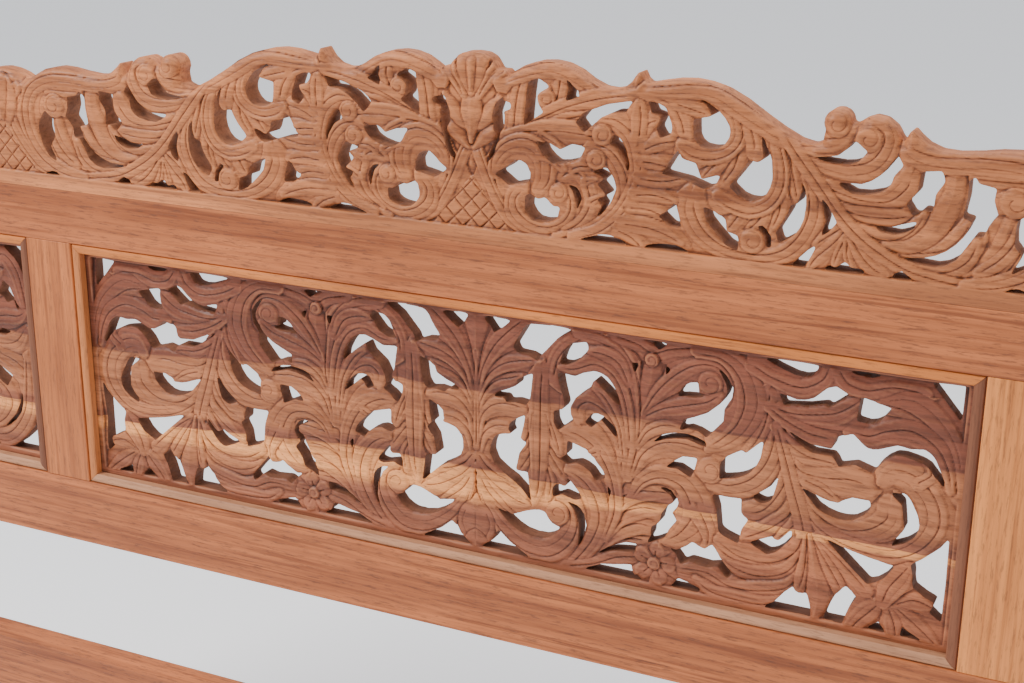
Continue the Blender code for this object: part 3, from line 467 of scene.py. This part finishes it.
# ---- pieces and boards from the CAD
def placed(name, data):
    made = bpy.data.objects.new(name, data)
    bpy.context.scene.collection.objects.link(made)
    return made


def stand_for(mesh, node):
    """A new piece in a CAD node's place."""
    made = placed(mesh.name, mesh)
    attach(made, "root")
    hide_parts(node)
    return made


def face_loops(node, front):
    """Closed outlines of a CAD board's front face, in millimetres (x, z)."""
    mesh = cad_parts[node].data
    points = np.array([v.co for v in mesh.vertices]) / MM
    keys = [tuple(np.round(p, 2)) for p in points]
    edges = {}
    mesh.calc_loop_triangles()
    for triangle in mesh.loop_triangles:
        corner = [keys[i] for i in triangle.vertices]
        if any(abs(c[1] - front) > SAME_PLANE for c in corner):
            continue
        for a, b in zip(corner, corner[1:] + corner[:1]):
            if (b, a) in edges:
                del edges[b, a]
            else:
                edges[a, b] = True
    follow = dict(edges.keys())
    loops = []
    while follow:
        start, here = next(iter(follow.items()))
        del follow[start]
        loop = [start]
        while here != start:
            loop.append(here)
            here = follow.pop(here)
        loops.append(np.array([(p[0], p[2]) for p in loop]))
    return loops


def blurred(field, times=1):
    """A field smoothed over its neighbours."""
    for _ in range(times):
        for axis in (0, 1):
            before = np.take(field, np.r_[0, 0:field.shape[axis] - 1], axis)
            after = np.take(field, np.r_[1:field.shape[axis], field.shape[axis] - 1], axis)
            field = (before + 2 * field + after) / 4
    return field


def depth_inside(loops, x, z):
    """Distance from the outlines at grid points: positive in the wood, negative in an opening."""
    nearest = np.full(x.shape, BAND)
    toggles = np.zeros(x.shape, int)
    xs, zs = x[0], z[:, 0]
    for loop in loops:
        for a, b in zip(loop, np.roll(loop, -1, axis=0)):
            c0, c1 = np.searchsorted(xs, (min(a[0], b[0]) - BAND, max(a[0], b[0]) + BAND))
            r0, r1 = np.searchsorted(zs, (min(a[1], b[1]) - BAND, max(a[1], b[1]) + BAND))
            px, pz = x[r0:r1, c0:c1] - a[0], z[r0:r1, c0:c1] - a[1]
            step = b - a
            t = np.clip((px * step[0] + pz * step[1]) / max(step @ step, 1e-9), 0, 1)
            away = np.hypot(px - t * step[0], pz - t * step[1])
            nearest[r0:r1, c0:c1] = np.minimum(nearest[r0:r1, c0:c1], away)
            s0, s1 = np.searchsorted(zs, sorted((a[1], b[1])))
            for row in range(s0, s1):
                cross = a[0] + (zs[row] - a[1]) * step[0] / step[1]
                column = np.searchsorted(xs, cross)
                if column < len(xs):
                    toggles[row, column] += 1
    inside = toggles.cumsum(1) % 2 == 1
    return np.where(inside, nearest, -nearest)


def grid_over(loops):
    """A grid centred on the outlines' box, three cells wider on every side."""
    low = np.min([loop.min(0) for loop in loops], 0) - 3 * CELL
    high = np.max([loop.max(0) for loop in loops], 0) + 3 * CELL
    counts = np.ceil((high - low) / CELL).astype(int)
    centre = (low + high) / 2
    axes = [centre[k] + (np.arange(counts[k] + 1) - counts[k] / 2) * CELL for k in (0, 1)]
    return np.meshgrid(*axes)


def hollows(height):
    """Where a surface lies below (towards 0) or above (towards 1) its surroundings."""
    return np.clip(0.5 + HOLLOW_GAIN * (height - blurred(height, HOLLOW_REACH)), 0, 1)


def carve(node, looks, x, z, inside, height, cavity, rim_depth=None):
    """Replace a CAD board by a solid with a look each for its carved face, sawn walls and flat back.

    Walls where rim_depth is near zero are an outer edge finished like the back.
    """
    front, back = (corner.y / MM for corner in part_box(node))
    inside = np.where(np.abs(inside) < SNAP, np.where(inside > 0, SNAP, -SNAP), inside)
    solid = inside > 0
    first_edge = int(solid.sum())
    point_id = np.full(solid.shape, -1)
    point_id[solid] = np.arange(first_edge)
    edge_points, edge_shade, edge_cell, edge_id = [], [], [], {}

    def crossing(p, q):
        """The number of the point where the outline crosses between two grid points."""
        key = (p, q) if p < q else (q, p)
        if key not in edge_id:
            t = inside[p] / (inside[p] - inside[q])
            h = height[p] + min(t, 1) * (height[q] - height[p])
            edge_id[key] = first_edge + len(edge_points)
            edge_points.append((x[p] + t * (x[q] - x[p]), front + GROUND - h, z[p] + t * (z[q] - z[p])))
            edge_shade.append(cavity[p] if solid[p] else cavity[q])
            edge_cell.append(p)
        return edge_id[key]

    count = solid[:-1, :-1].astype(int) + solid[:-1, 1:] + solid[1:, 1:] + solid[1:, :-1]
    r, c = np.argwhere(count == 4).T
    faces = np.stack([point_id[r, c], point_id[r, c + 1], point_id[r + 1, c + 1], point_id[r + 1, c]], 1)
    faces = faces.tolist()
    rim = []
    for r, c in np.argwhere((count > 0) & (count < 4)).tolist():
        corners = [(r, c), (r, c + 1), (r + 1, c + 1), (r + 1, c)]
        face, leave, first_enter = [], None, None
        for p, q in zip(corners, corners[1:] + corners[:1]):
            if solid[p]:
                face.append(int(point_id[p]))
            if solid[p] != solid[q]:
                met = crossing(p, q)
                face.append(met)
                if solid[p]:
                    leave = met
                elif leave is None:
                    first_enter = met
                else:
                    rim.append((leave, met))
                    leave = None
        if leave is not None:
            rim.append((leave, first_enter))
        faces.append(face)
    on_grid = np.stack([x[solid], front + GROUND - height[solid], z[solid]], 1)
    points = np.vstack([on_grid, np.array(edge_points)])

    rim_ids = sorted({i for pair in rim for i in pair})
    local = {i: k for k, i in enumerate(rim_ids)}
    back_points = points[rim_ids].copy()
    back_points[:, 1] = back
    behind = {i: len(points) + k for i, k in local.items()}
    walls = [(b, a, behind[a], behind[b]) for a, b in rim]
    flat = [Vector((points[i][0], points[i][2])) for i in rim_ids]
    edges = [(local[a], local[b]) for a, b in rim]
    out, _, triangles, original, *_ = delaunay_2d_cdt(flat, edges, [], 0, 1e-7)
    centres = np.array([sum((out[i] for i in t), Vector((0, 0))) / 3 for t in triangles])
    kept = zip(triangles, in_loops(centres, flat, edges))
    backs = [[len(points) + original[i][0] for i in triangle] for triangle, keep in kept if keep]

    mesh = bpy.data.meshes.new(node + "_carving")
    mesh.from_pydata((np.vstack([points, back_points]) * MM).tolist(), [], faces + walls + backs)
    kinds = np.repeat([0, 1, 2], [len(faces), len(walls), len(backs)])
    if rim_depth is not None:
        for k, (a, _) in enumerate(rim):
            if abs(rim_depth[edge_cell[a - first_edge]]) < OUTER_EDGE:
                kinds[len(faces) + k] = 2
    mesh.polygons.foreach_set("material_index", kinds)
    shade = np.concatenate([cavity[solid], edge_shade, np.full(len(back_points), 0.5)])
    mesh.attributes.new("cavity", "FLOAT", "POINT").data.foreach_set("value", shade.astype(np.float32))
    fixer = bmesh.new()
    fixer.from_mesh(mesh)
    bmesh.ops.recalc_face_normals(fixer, faces=fixer.faces)
    fixer.to_mesh(mesh)
    fixer.free()
    mesh.shade_smooth()
    mesh.set_sharp_from_angle(angle=math.radians(CARVED_ANGLE))
    for look in looks:
        mesh.materials.append(look)
    stand_for(mesh, node)


def in_loops(points, flat, edges):
    """Whether each point lies inside the outlines: an odd number of edges crosses the row to its right."""
    ends = np.array([(flat[a], flat[b]) for a, b in edges])
    a, b = ends[:, 0], ends[:, 1]
    keep = np.zeros(len(points), bool)
    for start in range(0, len(points), TESTS_AT_ONCE):
        part = points[start:start + TESTS_AT_ONCE]
        px, pz = part[:, :1], part[:, 1:]
        spans = (a[:, 1] > pz) != (b[:, 1] > pz)
        rise = np.where(a[:, 1] == b[:, 1], 1, b[:, 1] - a[:, 1])
        cross = a[:, 0] + (pz - a[:, 1]) * (b[:, 0] - a[:, 0]) / rise
        keep[start:start + TESTS_AT_ONCE] = (spans & (px < cross)).sum(1) % 2 == 1
    return keep


def tool_marks(x, z):
    """Shallow unevenness left by gouges: waves 7 to 60 mm long, bent so that nothing repeats."""
    first = np.sin(x * 0.31 + 2.1 * np.sin(z * 0.17)) * np.sin(z * 0.37 + 1.7 * np.sin(x * 0.11))
    second = np.sin(x * 0.83 + z * 0.45) * np.sin(z * 0.71 - x * 0.29 + 1.3)
    return MARK_SIZE * (first + 0.5 * second)


def rolled(depth, width, drop):
    """How far a surface has rolled down at a distance in from its edge."""
    return drop * (1 - np.clip(depth / width, 0, 1)) ** 2


# ---- wood
BLACK, WHITE = (0, 0, 0), (1, 1, 1)
GRAIN_AXES = {"x": (0.4, 9.0, 14.0), "z": (14.0, 9.0, 0.4)}  # how the noise is stretched
LONG = 2.0  # an axis stretched less than this runs along the grain
VEIN_STRETCH, PORE_STRETCH = (2.0, 2.4), (1.4, 12.0)  # along and across; the veins' comes on top

# What each noise does to the wood's tone, as places on a ramp and factors
STREAK_TINT = [(0.32, (0.62, 0.55, 0.52)), (0.50, WHITE), (0.68, (1.30, 1.34, 1.38))]
RING_TINT = [(0.33, (0.66, 0.60, 0.56)), (0.50, WHITE), (0.68, (1.15, 1.16, 1.16))]
CLOUD_TINT, CLOUD_SHARE = [(0.3, (0.84, 0.80, 0.78)), (0.7, (1.12, 1.13, 1.14))], 0.7
VEIN_MASK, VEIN_TINT = [(0.64, BLACK), (0.70, WHITE), (0.76, BLACK)], (0.45, 0.38, 0.36)
PORE_MASK, PORE = [(0.53, BLACK), (0.66, WHITE)], (0.10, 0.035, 0.018)
# On the hollows attribute: hollows are darkened, partly as real stain and partly as painted shade in the
# creases.
STAIN_AND_SHADE_TINT, STAIN_AND_SHADE_SHARE = [(0.02, (0.20, 0.13, 0.10)), (0.28, (0.52, 0.44, 0.40)), (0.45, WHITE)], 0.9
# Raised tops are paled, partly as real wear and partly as a painted highlight.
WEAR_AND_HIGHLIGHT_MASK, WEAR_AND_HIGHLIGHT_TINT, WEAR_AND_HIGHLIGHT_SHARE = [(0.56, BLACK), (0.80, WHITE)], (1.35, 1.5, 1.7), 0.4
SHEEN_LOW, SHEEN_HIGH = (0.3, -0.08), (0.7, 0.12)  # streak's place and change of roughness
GRAIN_BUMP, PORE_BUMP = 0.0006, -0.7  # m of height, and the pores' share of it
OIL_SHINE = 0.35
SEED_STEP = (3.1, 1.7, 2.3)  # how far a seed moves the noise


def fill(sockets, **values):
    """Set a node's inputs by name, with _ for a space."""
    for key, value in values.items():
        sockets[key.replace("_", " ")].default_value = value


def feed(tree, socket, value):
    """Give an input another node's output, a number or a colour."""
    if isinstance(value, bpy.types.NodeSocket):
        tree.links.new(value, socket)
    else:
        socket.default_value = (*value, 1) if isinstance(value, tuple) else value


def noise_at(tree, place, **settings):
    made = tree.nodes.new("ShaderNodeTexNoise")
    fill(made.inputs, **settings)
    tree.links.new(place, made.inputs["Vector"])
    return made.outputs["Fac"]


def ramp(tree, source, stops):
    made = tree.nodes.new("ShaderNodeValToRGB")
    elements = made.color_ramp.elements
    while len(elements) < len(stops):
        elements.new(0.5)
    for element, (place, colour) in zip(elements, stops):
        element.position = place
        element.color = (*colour, 1)
    tree.links.new(source, made.inputs["Fac"])
    return made.outputs["Color"]


def mixed(tree, first, second, factor, blend="MIX"):
    made = tree.nodes.new("ShaderNodeMix")
    made.data_type = "RGBA"
    made.blend_type = blend
    for number, value in ((6, first), (7, second), (0, factor)):
        feed(tree, made.inputs[number], value)
    return made.outputs[2]


def math_node(tree, operation, first, second=0.0, third=0.0):
    made = tree.nodes.new("ShaderNodeMath")
    made.operation = operation
    for socket, value in zip(made.inputs, (first, second, third)):
        feed(tree, socket, value)
    return made.outputs[0]


def bumped(tree, height, strength, distance):
    bump = tree.nodes.new("ShaderNodeBump")
    fill(bump.inputs, Strength=strength, Distance=distance)
    tree.links.new(height, bump.inputs["Height"])
    tree.links.new(bump.outputs["Normal"], tree.nodes["Principled BSDF"].inputs["Normal"])


def tinted(colour, factors):
    return tuple(min(1.0, c * f) for c, f in zip(colour, factors))


def new_look(name):
    """A material with its node tree, its shader's inputs and the object's own coordinates."""
    made = bpy.data.materials.new(name)
    made.use_nodes = True
    tree = made.node_tree
    place = tree.nodes.new("ShaderNodeTexCoord").outputs["Object"]
    return made, tree, tree.nodes["Principled BSDF"].inputs, place


def wood(name, tone, grain, seed, contrast=0.7, roughness=0.5, bump=0.35, carved=False, boards=None,
         pore_share=0.42, vein_share=0.55):
    """Oiled teak: long streaks, growth rings, pores, hollows darkened by stain and painted shade, and raised
    edges paled by wear and a painted highlight.
    """
    made, tree, inputs, place = new_look(name)

    def noise(scale, offset, stretch, **settings):
        mapping = tree.nodes.new("ShaderNodeMapping")
        x, y, z = (seed * step for step in SEED_STEP)
        fill(mapping.inputs, Scale=stretch, Location=(x + offset, y, z + offset))
        tree.links.new(place, mapping.inputs["Vector"])
        return noise_at(tree, mapping.outputs["Vector"], Scale=scale, **settings)

    along = GRAIN_AXES[grain]
    finer = tuple(v * VEIN_STRETCH[v > LONG] for v in along)
    pointed = tuple(PORE_STRETCH[v > LONG] for v in along)
    streaks = noise(3.2, 0.0, along, Detail=5.0, Roughness=0.62, Distortion=0.3)
    rings = noise(13.0, 5.0, along, Detail=3.0, Roughness=0.6, Distortion=0.4)
    pores = noise(30.0, 9.0, pointed, Detail=3.0, Roughness=0.75)
    veins = noise(2.1, 14.0, finer, Detail=2.0, Roughness=0.5, Distortion=0.6)
    cloud = noise(5.0, 2.0, (1.0, 1.0, 1.0), Detail=2.0, Roughness=0.5)

    colour = tone if boards is None else boards(tree, place)
    for source, stops, share in ((streaks, STREAK_TINT, contrast), (rings, RING_TINT, contrast),
                                 (cloud, CLOUD_TINT, CLOUD_SHARE)):
        colour = mixed(tree, colour, ramp(tree, source, stops), share, "MULTIPLY")
    vein = math_node(tree, "MULTIPLY", ramp(tree, veins, VEIN_MASK), vein_share)
    colour = mixed(tree, colour, tinted(tone, VEIN_TINT), vein)
    pore_mask = ramp(tree, pores, PORE_MASK)
    colour = mixed(tree, colour, PORE, math_node(tree, "MULTIPLY", pore_mask, pore_share))
    if carved:
        cavity = tree.nodes.new("ShaderNodeAttribute")
        cavity.attribute_name = "cavity"
        level = cavity.outputs["Fac"]
        # painted shade: hollows darkened, partly as real stain in the recesses
        colour = mixed(tree, colour, ramp(tree, level, STAIN_AND_SHADE_TINT), STAIN_AND_SHADE_SHARE, "MULTIPLY")
        # painted highlight: raised tops paled, partly as real wear
        wear_and_highlight = math_node(tree, "MULTIPLY", ramp(tree, level, WEAR_AND_HIGHLIGHT_MASK), WEAR_AND_HIGHLIGHT_SHARE)
        colour = mixed(tree, colour, tinted(tone, WEAR_AND_HIGHLIGHT_TINT), wear_and_highlight)
    tree.links.new(colour, inputs["Base Color"])

    sheen = ramp(tree, streaks, [(spot, (roughness + more,) * 3) for spot, more in (SHEEN_LOW, SHEEN_HIGH)])
    tree.links.new(sheen, inputs["Roughness"])
    fill(inputs, Specular_IOR_Level=OIL_SHINE)
    bumped(tree, math_node(tree, "MULTIPLY_ADD", pore_mask, PORE_BUMP, rings), bump, GRAIN_BUMP)
    return made


# The panels' glued boards. Places are shares of the way down the opening, distances in metres.
DARK_BOARD, LIGHT_BOARD, STREAK_BOARD = (0.205, 0.058, 0.029), (0.420, 0.145, 0.056), (0.290, 0.092, 0.044)
LOW_BOARD, SAPWOOD = (0.335, 0.112, 0.055), (0.840, 0.325, 0.100)
BOARD_STOPS = [
    (0.000, DARK_BOARD), (0.326, DARK_BOARD), (0.332, LIGHT_BOARD), (0.590, LIGHT_BOARD),
    (0.620, STREAK_BOARD), (0.650, STREAK_BOARD), (0.700, LIGHT_BOARD), (0.790, LIGHT_BOARD),
    (0.825, LOW_BOARD), (0.860, STREAK_BOARD), (0.890, LOW_BOARD), (0.930, STREAK_BOARD), (1.000, LOW_BOARD),
]
FIGURE_TINT = [
    (0.60, WHITE), (0.70, (1.08, 1.08, 1.06)), (0.74, (0.86, 0.80, 0.78)), (0.78, (1.04, 1.04, 1.02)),
    (0.86, (0.88, 0.84, 0.82)), (0.94, WHITE),
]
FIGURE_WANDER = 0.12
BAND_TOP, BAND_DEPTH = 0.648, 0.152  # the sapwood
BAND_MASK = [(0.235, BLACK), (0.255, WHITE), (0.62, WHITE), (0.76, BLACK)]
BAND_SPAN, BAND_LEAD = 0.5, 0.25  # its depth on that ramp, and the ramp above it
LEFT_START, LEFT_SLOPE, LEFT_MOST = -0.045, -0.28, 0.09  # how far the glue lines sink to the left
TAPER_SLOPE, TAPER_MOST = 0.5, 0.122  # how much thinner the sapwood gets to the right
REDDER, REDDER_FROM = (1.12, 1.02, 1.05), 0.68  # the lower boards, to the right
REDDER_START, REDDER_SLOPE, REDDER_MOST = -1.5, 6.0, 0.62


def glued_boards(tree, place):
    """Boards of different shade glued edge to edge, with a band of sapwood that narrows to both sides."""
    calc = partial(math_node, tree)

    def between(value, most):
        return calc("MINIMUM", calc("MAXIMUM", value, 0.0), most)

    split = tree.nodes.new("ShaderNodeSeparateXYZ")
    tree.links.new(place, split.inputs[0])
    across, up = split.outputs["X"], split.outputs["Z"]
    share = calc("DIVIDE", calc("SUBTRACT", SIGHT_TOP * MM, up), SIGHT_HEIGHT * MM)
    left = between(calc("MULTIPLY_ADD", across, LEFT_SLOPE, LEFT_START), LEFT_MOST)
    right = between(calc("MULTIPLY", across, TAPER_SLOPE), TAPER_MOST)
    depth = calc("SUBTRACT", calc("SUBTRACT", BAND_DEPTH, left), right)
    from_top = calc("SUBTRACT", calc("SUBTRACT", share, BAND_TOP), left)
    within = calc("MULTIPLY_ADD", calc("DIVIDE", from_top, depth), BAND_SPAN, BAND_LEAD)
    straight = ramp(tree, calc("SUBTRACT", share, left), BOARD_STOPS)
    wander = noise_at(tree, place, Scale=6.0, Detail=2.0)
    shift = calc("MULTIPLY_ADD", wander, FIGURE_WANDER, -FIGURE_WANDER / 2)
    figured = mixed(tree, straight, ramp(tree, calc("ADD", share, shift), FIGURE_TINT), 1.0, "MULTIPLY")
    redder = between(calc("MULTIPLY_ADD", across, REDDER_SLOPE, REDDER_START), REDDER_MOST)
    redder = calc("MULTIPLY", redder, calc("GREATER_THAN", share, REDDER_FROM))
    figured = mixed(tree, figured, tinted(LIGHT_BOARD, REDDER), redder)
    return mixed(tree, figured, SAPWOOD, ramp(tree, within, BAND_MASK))


ZINC_TINT = [(0.35, (0.22, 0.20, 0.17)), (0.6, (0.50, 0.48, 0.44))]
ZINC_SHEEN = [(0.3, (0.5,) * 3), (0.7, (0.3,) * 3)]
ZINC_BUMP = (0.2, 0.0003)  # strength, and m of height


def metal(name):
    """Dull zinc plating with darker spots."""
    made, tree, inputs, place = new_look(name)
    fill(inputs, Metallic=1.0)
    spots = noise_at(tree, place, Scale=90.0, Detail=4.0)
    tree.links.new(ramp(tree, spots, ZINC_TINT), inputs["Base Color"])
    tree.links.new(ramp(tree, spots, ZINC_SHEEN), inputs["Roughness"])
    bumped(tree, spots, *ZINC_BUMP)
    return made


# ---- carved boards
def border_height(height, edge_distance):
    """A plain strip along the sight edges, with a small step down to the carving."""
    return np.where(edge_distance < BORDER, BORDER_LEVEL, height)


def finish_height(height, depth):
    """Ease the sawn edges and take the last roughness off the relief."""
    eased_edge = height - rolled(depth, HOLE_ROUND, HOLE_DROP)
    return np.minimum((1 - SMOOTHING) * eased_edge + SMOOTHING * blurred(eased_edge), GROUND)


def board(node):
    """A CAD board's box, outlines, grid and distance from its edges."""
    low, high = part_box(node)
    loops = face_loops(node, low.y / MM)
    x, z = grid_over(loops)
    return low, high, loops, x, z, blurred(depth_inside(loops, x, z), OUTLINE_BLUR)


def panel(node, plan, looks):
    low, high, _, x, z, depth = board(node)
    centre = (low.x + high.x) / 2 / MM
    across, drop = np.abs(x - centre), SIGHT_TOP - z
    height = folded_relief(strokes_of(plan), x, drop, centre)
    half = (high.x - low.x) / 2 / MM - (high.z / MM - SIGHT_TOP)  # the groove is as deep all round
    edge = np.minimum.reduce([half - across, drop, SIGHT_HEIGHT - drop])
    height = border_height(height + tool_marks(x, z), edge)
    carve(node, looks, x, z, depth, finish_height(height, depth), hollows(height))


def lattice(height, across, rise, apex, foot):
    """Crossed grooves in the triangle under a palmette."""
    room = (rise < apex - LATTICE_SLOPE * across) & (rise > foot) & (across < LATTICE_HALF)
    grooves = []
    for sign in (1, -1):
        phase = (across * sign + rise) / LATTICE_PITCH
        grooves.append(np.abs(phase - np.round(phase)) * LATTICE_PITCH / math.sqrt(2))
    groove = np.clip(1 - np.minimum(*grooves) / LATTICE_GROOVE, 0, 1)
    return np.where(room, LATTICE_LEVEL - LATTICE_DEPTH * groove, height)


def crest(looks):
    low, _, loops, x, z, depth = board("crest")
    rise = z - (low.z / MM - CREST_FOOT)
    wing = strokes_of(WING_PLAN)
    strokes = strokes_of(CREST_PLAN) + wing + mirrored(wing, WING_CENTRE) + strokes_of(END_PLAN)
    height = folded_relief(strokes, x, rise, 0)
    for centre, apex in LATTICES:
        height = lattice(height, np.abs(np.abs(x) - centre), rise, apex, STRIP_TOP)
    height = np.where(rise < STRIP_TOP, STRIP_LEVEL, height + tool_marks(x, z))
    cavity = hollows(height)
    outer = max(loops, key=lambda loop: np.ptp(loop[:, 0]))
    outer_depth = depth_inside([outer], x, z)
    height = height - rolled(np.where(rise < RIM_START, BAND, outer_depth), RIM_ROUND, RIM_DROP)
    height = finish_height(height, np.where(rise < STRIP_TOP, BAND, depth))
    carve("crest", looks, x, z, depth, height, cavity, outer_depth)


# ---- plain pieces
EASE_WIDTH, EASED_ANGLE = 1.3, 40  # mm; degrees from which an edge is eased
FLAT_ANGLE, SHARP_ANGLE, BEAD_ANGLE = 1, 35, 42  # degrees, for joining and for shading faces
WELD = 1e-5  # m; points nearer than this are one
RAIL_TONE, LEFT_TONE, RIGHT_TONE = (0.440, 0.130, 0.040), (0.500, 0.152, 0.042), (0.690, 0.236, 0.056)
BEAD_TONES = {"top": (0.630, 0.196, 0.042), "bottom": (0.520, 0.250, 0.130),
              "left": (0.560, 0.190, 0.056), "right": (0.215, 0.076, 0.035)}
STOP_TONE, PEG_TONE = (0.360, 0.140, 0.058), (0.22, 0.080, 0.038)
# The sawn walls' tones are darker than the faces, partly for end grain and partly as painted shade inside
# the openings; the panel's walls carry more painted shade.
PANEL_WALL_SHADED_TONE, CREST_WALL_SHADED_TONE = (0.190, 0.068, 0.032), (0.330, 0.130, 0.060)
CREST_TONE, CREST_BACK = (0.470, 0.158, 0.053), (0.520, 0.185, 0.072)
LEVEL = ("top", "bottom")  # sides whose pieces have their grain across
# Where each wood's noise starts; one that names several pieces goes up by one for each
SEEDS = {"rail": 1.0, "post": 11.0, "bead": 21.0, "stop": 31.0, "peg": 41.0, "edge": 51.0, "panel": 61.0,
         "crest": 71.0}


def eased(node, look):
    """A CAD piece with its sharp edges eased by a plane or by wear."""
    builder = bmesh.new()
    builder.from_mesh(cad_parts[node].data)
    bmesh.ops.remove_doubles(builder, verts=builder.verts, dist=WELD)
    bmesh.ops.dissolve_limit(builder, angle_limit=math.radians(FLAT_ANGLE), verts=builder.verts,
                             edges=builder.edges)
    mesh = bpy.data.meshes.new(node + "_eased")
    builder.to_mesh(mesh)
    builder.free()
    mesh.materials.append(look)
    mesh.shade_smooth()
    mesh.set_sharp_from_angle(angle=math.radians(SHARP_ANGLE))
    step = stand_for(mesh, node).modifiers.new("eased", "BEVEL")
    step.width = EASE_WIDTH * MM
    step.segments = 2
    step.limit_method = "ANGLE"
    step.angle_limit = math.radians(EASED_ANGLE)
    step.use_clamp_overlap = True


def repaint(piece, look):
    piece.data.materials.clear()
    piece.data.materials.append(look)


def dress_frame():
    """Materials for every plain piece, one grain direction and seed each."""
    for k, node in enumerate(("top_rail", "bottom_rail", "foot_rail")):
        look = wood(node + "_wood", RAIL_TONE, "x", SEEDS["rail"] + k, 1.0, pore_share=0.6, vein_share=0.8)
        eased(node, look)
    for k, node in enumerate(("left_post", "left_stile", "right_stile", "right_post")):
        tone = LEFT_TONE if node.startswith("left") else RIGHT_TONE
        eased(node, wood(node + "_wood", tone, "z", SEEDS["post"] + k, 0.85, vein_share=0.7))
    looks = {}
    for k, (side, tone) in enumerate(BEAD_TONES.items()):
        grain = "x" if side in LEVEL else "z"
        looks["bead", side] = wood("bead_" + side, tone, grain, SEEDS["bead"] + k, 0.5, 0.6)
    across = wood("stop_across", STOP_TONE, "x", SEEDS["stop"], roughness=0.7)
    upward = wood("stop_upward", STOP_TONE, "z", SEEDS["stop"] + 1, roughness=0.7)
    for side in BEAD_TONES:
        looks["stop", side] = across if side in LEVEL else upward
    peg = wood("peg_end_grain", PEG_TONE, "x", SEEDS["peg"], roughness=0.65)
    plate = metal("plate_zinc")
    for node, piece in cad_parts.items():
        if "_bead_" in node or "_stop_" in node:
            repaint(piece, looks[tuple(node.rsplit("_", 2)[1:])])
            piece.data.shade_smooth()
            piece.data.set_sharp_from_angle(angle=math.radians(BEAD_ANGLE))
        elif "peg" in node or "dowel" in node:
            repaint(piece, peg)
        elif "plate" in node:
            repaint(piece, plate)


def dress_boards():
    """The three carved panels and the crest, each with a look for its face, walls and back."""
    # painted shade: the walls of the openings are darkened beyond their end grain
    shaded_panel_wall = wood("sawn_panel_edge_painted_shade", PANEL_WALL_SHADED_TONE, "x", SEEDS["edge"], roughness=0.75)
    shaded_crest_wall = wood("sawn_crest_edge_painted_shade", CREST_WALL_SHADED_TONE, "x", SEEDS["edge"] + 1, roughness=0.7)
    panel_back = wood("panel_back", LIGHT_BOARD, "x", SEEDS["panel"], 0.9, 0.7, boards=glued_boards)
    crest_back = wood("crest_back", CREST_BACK, "x", SEEDS["crest"], 0.8, 0.6)
    panel_face = wood("panel_face", LIGHT_BOARD, "x", SEEDS["panel"], 0.9, bump=0.45, carved=True,
                      boards=glued_boards, pore_share=0.45)
    crest_face = wood("crest_face", CREST_TONE, "x", SEEDS["crest"], 1.0, bump=0.45, carved=True,
                      pore_share=0.45)
    for side, plan in (("middle", PANEL_PLAN), ("left", SIDE_PLAN), ("right", SIDE_PLAN)):
        panel(side + "_panel", plan, (panel_face, shaded_panel_wall, panel_back))
    crest((crest_face, shaded_crest_wall, crest_back))


# ---- floor, light and camera
FLOOR_SIZE, FLOOR_HEIGHT = 60, -0.0005  # m; just below the feet
FLOOR_TONE, FLOOR_GLOW = (0.92, 0.92, 0.93, 1), 0.25
LIT_POINT = (0, 0, 0.85)
# name, place, size in m, watts and colour
LIGHTS = (("key", (-2.0, -1.5, 2.9), (1.1, 1.1), 95, (1, 0.98, 0.95)),
          ("fill", (2.6, -2.4, 1.5), (2.5, 2.0), 8, (0.95, 0.97, 1)),
          ("top", (0.4, 0.5, 3.4), (3.0, 1.6), 45, WHITE))
SKY_TONE, SKY_LIGHT, SKY_SEEN = (0.93, 0.95, 1, 1), 0.8, 0.6  # the camera sees it that much brighter


def floor():
    bpy.ops.mesh.primitive_plane_add(size=FLOOR_SIZE, location=(0, 0, FLOOR_HEIGHT))
    made = bpy.context.object
    made.name = "studio_floor"
    look = bpy.data.materials.new("pale_floor")
    look.use_nodes = True
    inputs = look.node_tree.nodes["Principled BSDF"].inputs
    fill(inputs, Base_Color=FLOOR_TONE, Roughness=0.9, Emission_Color=(1, 1, 1, 1),
         Emission_Strength=FLOOR_GLOW)
    made.data.materials.append(look)


def studio():
    """Soft light from three panels and a pale sky."""
    for name, place, size, watts, colour in LIGHTS:
        data = bpy.data.lights.new(name, "AREA")
        data.shape = "RECTANGLE"
        data.size, data.size_y = size
        data.energy = watts
        data.color = colour
        made = placed(name, data)
        made.location = place
        made.rotation_euler = (Vector(LIT_POINT) - Vector(place)).to_track_quat("-Z", "Y").to_euler()
    world = bpy.data.worlds.new("studio")
    world.use_nodes = True
    tree = world.node_tree
    background = tree.nodes["Background"].inputs
    fill(background, Color=SKY_TONE)
    seen = tree.nodes.new("ShaderNodeLightPath").outputs["Is Camera Ray"]
    tree.links.new(math_node(tree, "MULTIPLY_ADD", seen, SKY_SEEN, SKY_LIGHT), background["Strength"])
    bpy.context.scene.world = world


LENS, SENSOR = 55.82, 36.0  # mm
VIEW_RIGHT, VIEW_UP = (0.90516, 0.42502, 0.00660), (-0.13994, 0.28328, 0.94877)
VIEW_BACK = (0.40138, -0.85971, 0.31589)
VIEW_FROM = (0.7571, -1.5143, 0.5279)  # m from the middle of the sight edge, in front of the beads
BEAD_FRONT = 4  # mm; the beads' front lies this far behind the rails' front


def camera():
    """The photograph's viewpoint: right of the middle, a little above the crest, looking down and left."""
    data = bpy.data.cameras.new("camera")
    data.lens = LENS
    data.sensor_width = SENSOR
    made = placed("camera", data)
    turn = Matrix((VIEW_RIGHT, VIEW_UP, VIEW_BACK)).transposed().to_4x4()
    bead_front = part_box("top_rail")[0].y + BEAD_FRONT * MM
    place = (VIEW_FROM[0], bead_front + VIEW_FROM[1], SIGHT_TOP * MM + VIEW_FROM[2])
    made.matrix_world = Matrix.Translation(place) @ turn
    bpy.context.scene.camera = made


# ---- assembly
dress_frame()
dress_boards()
floor()
studio()
camera()
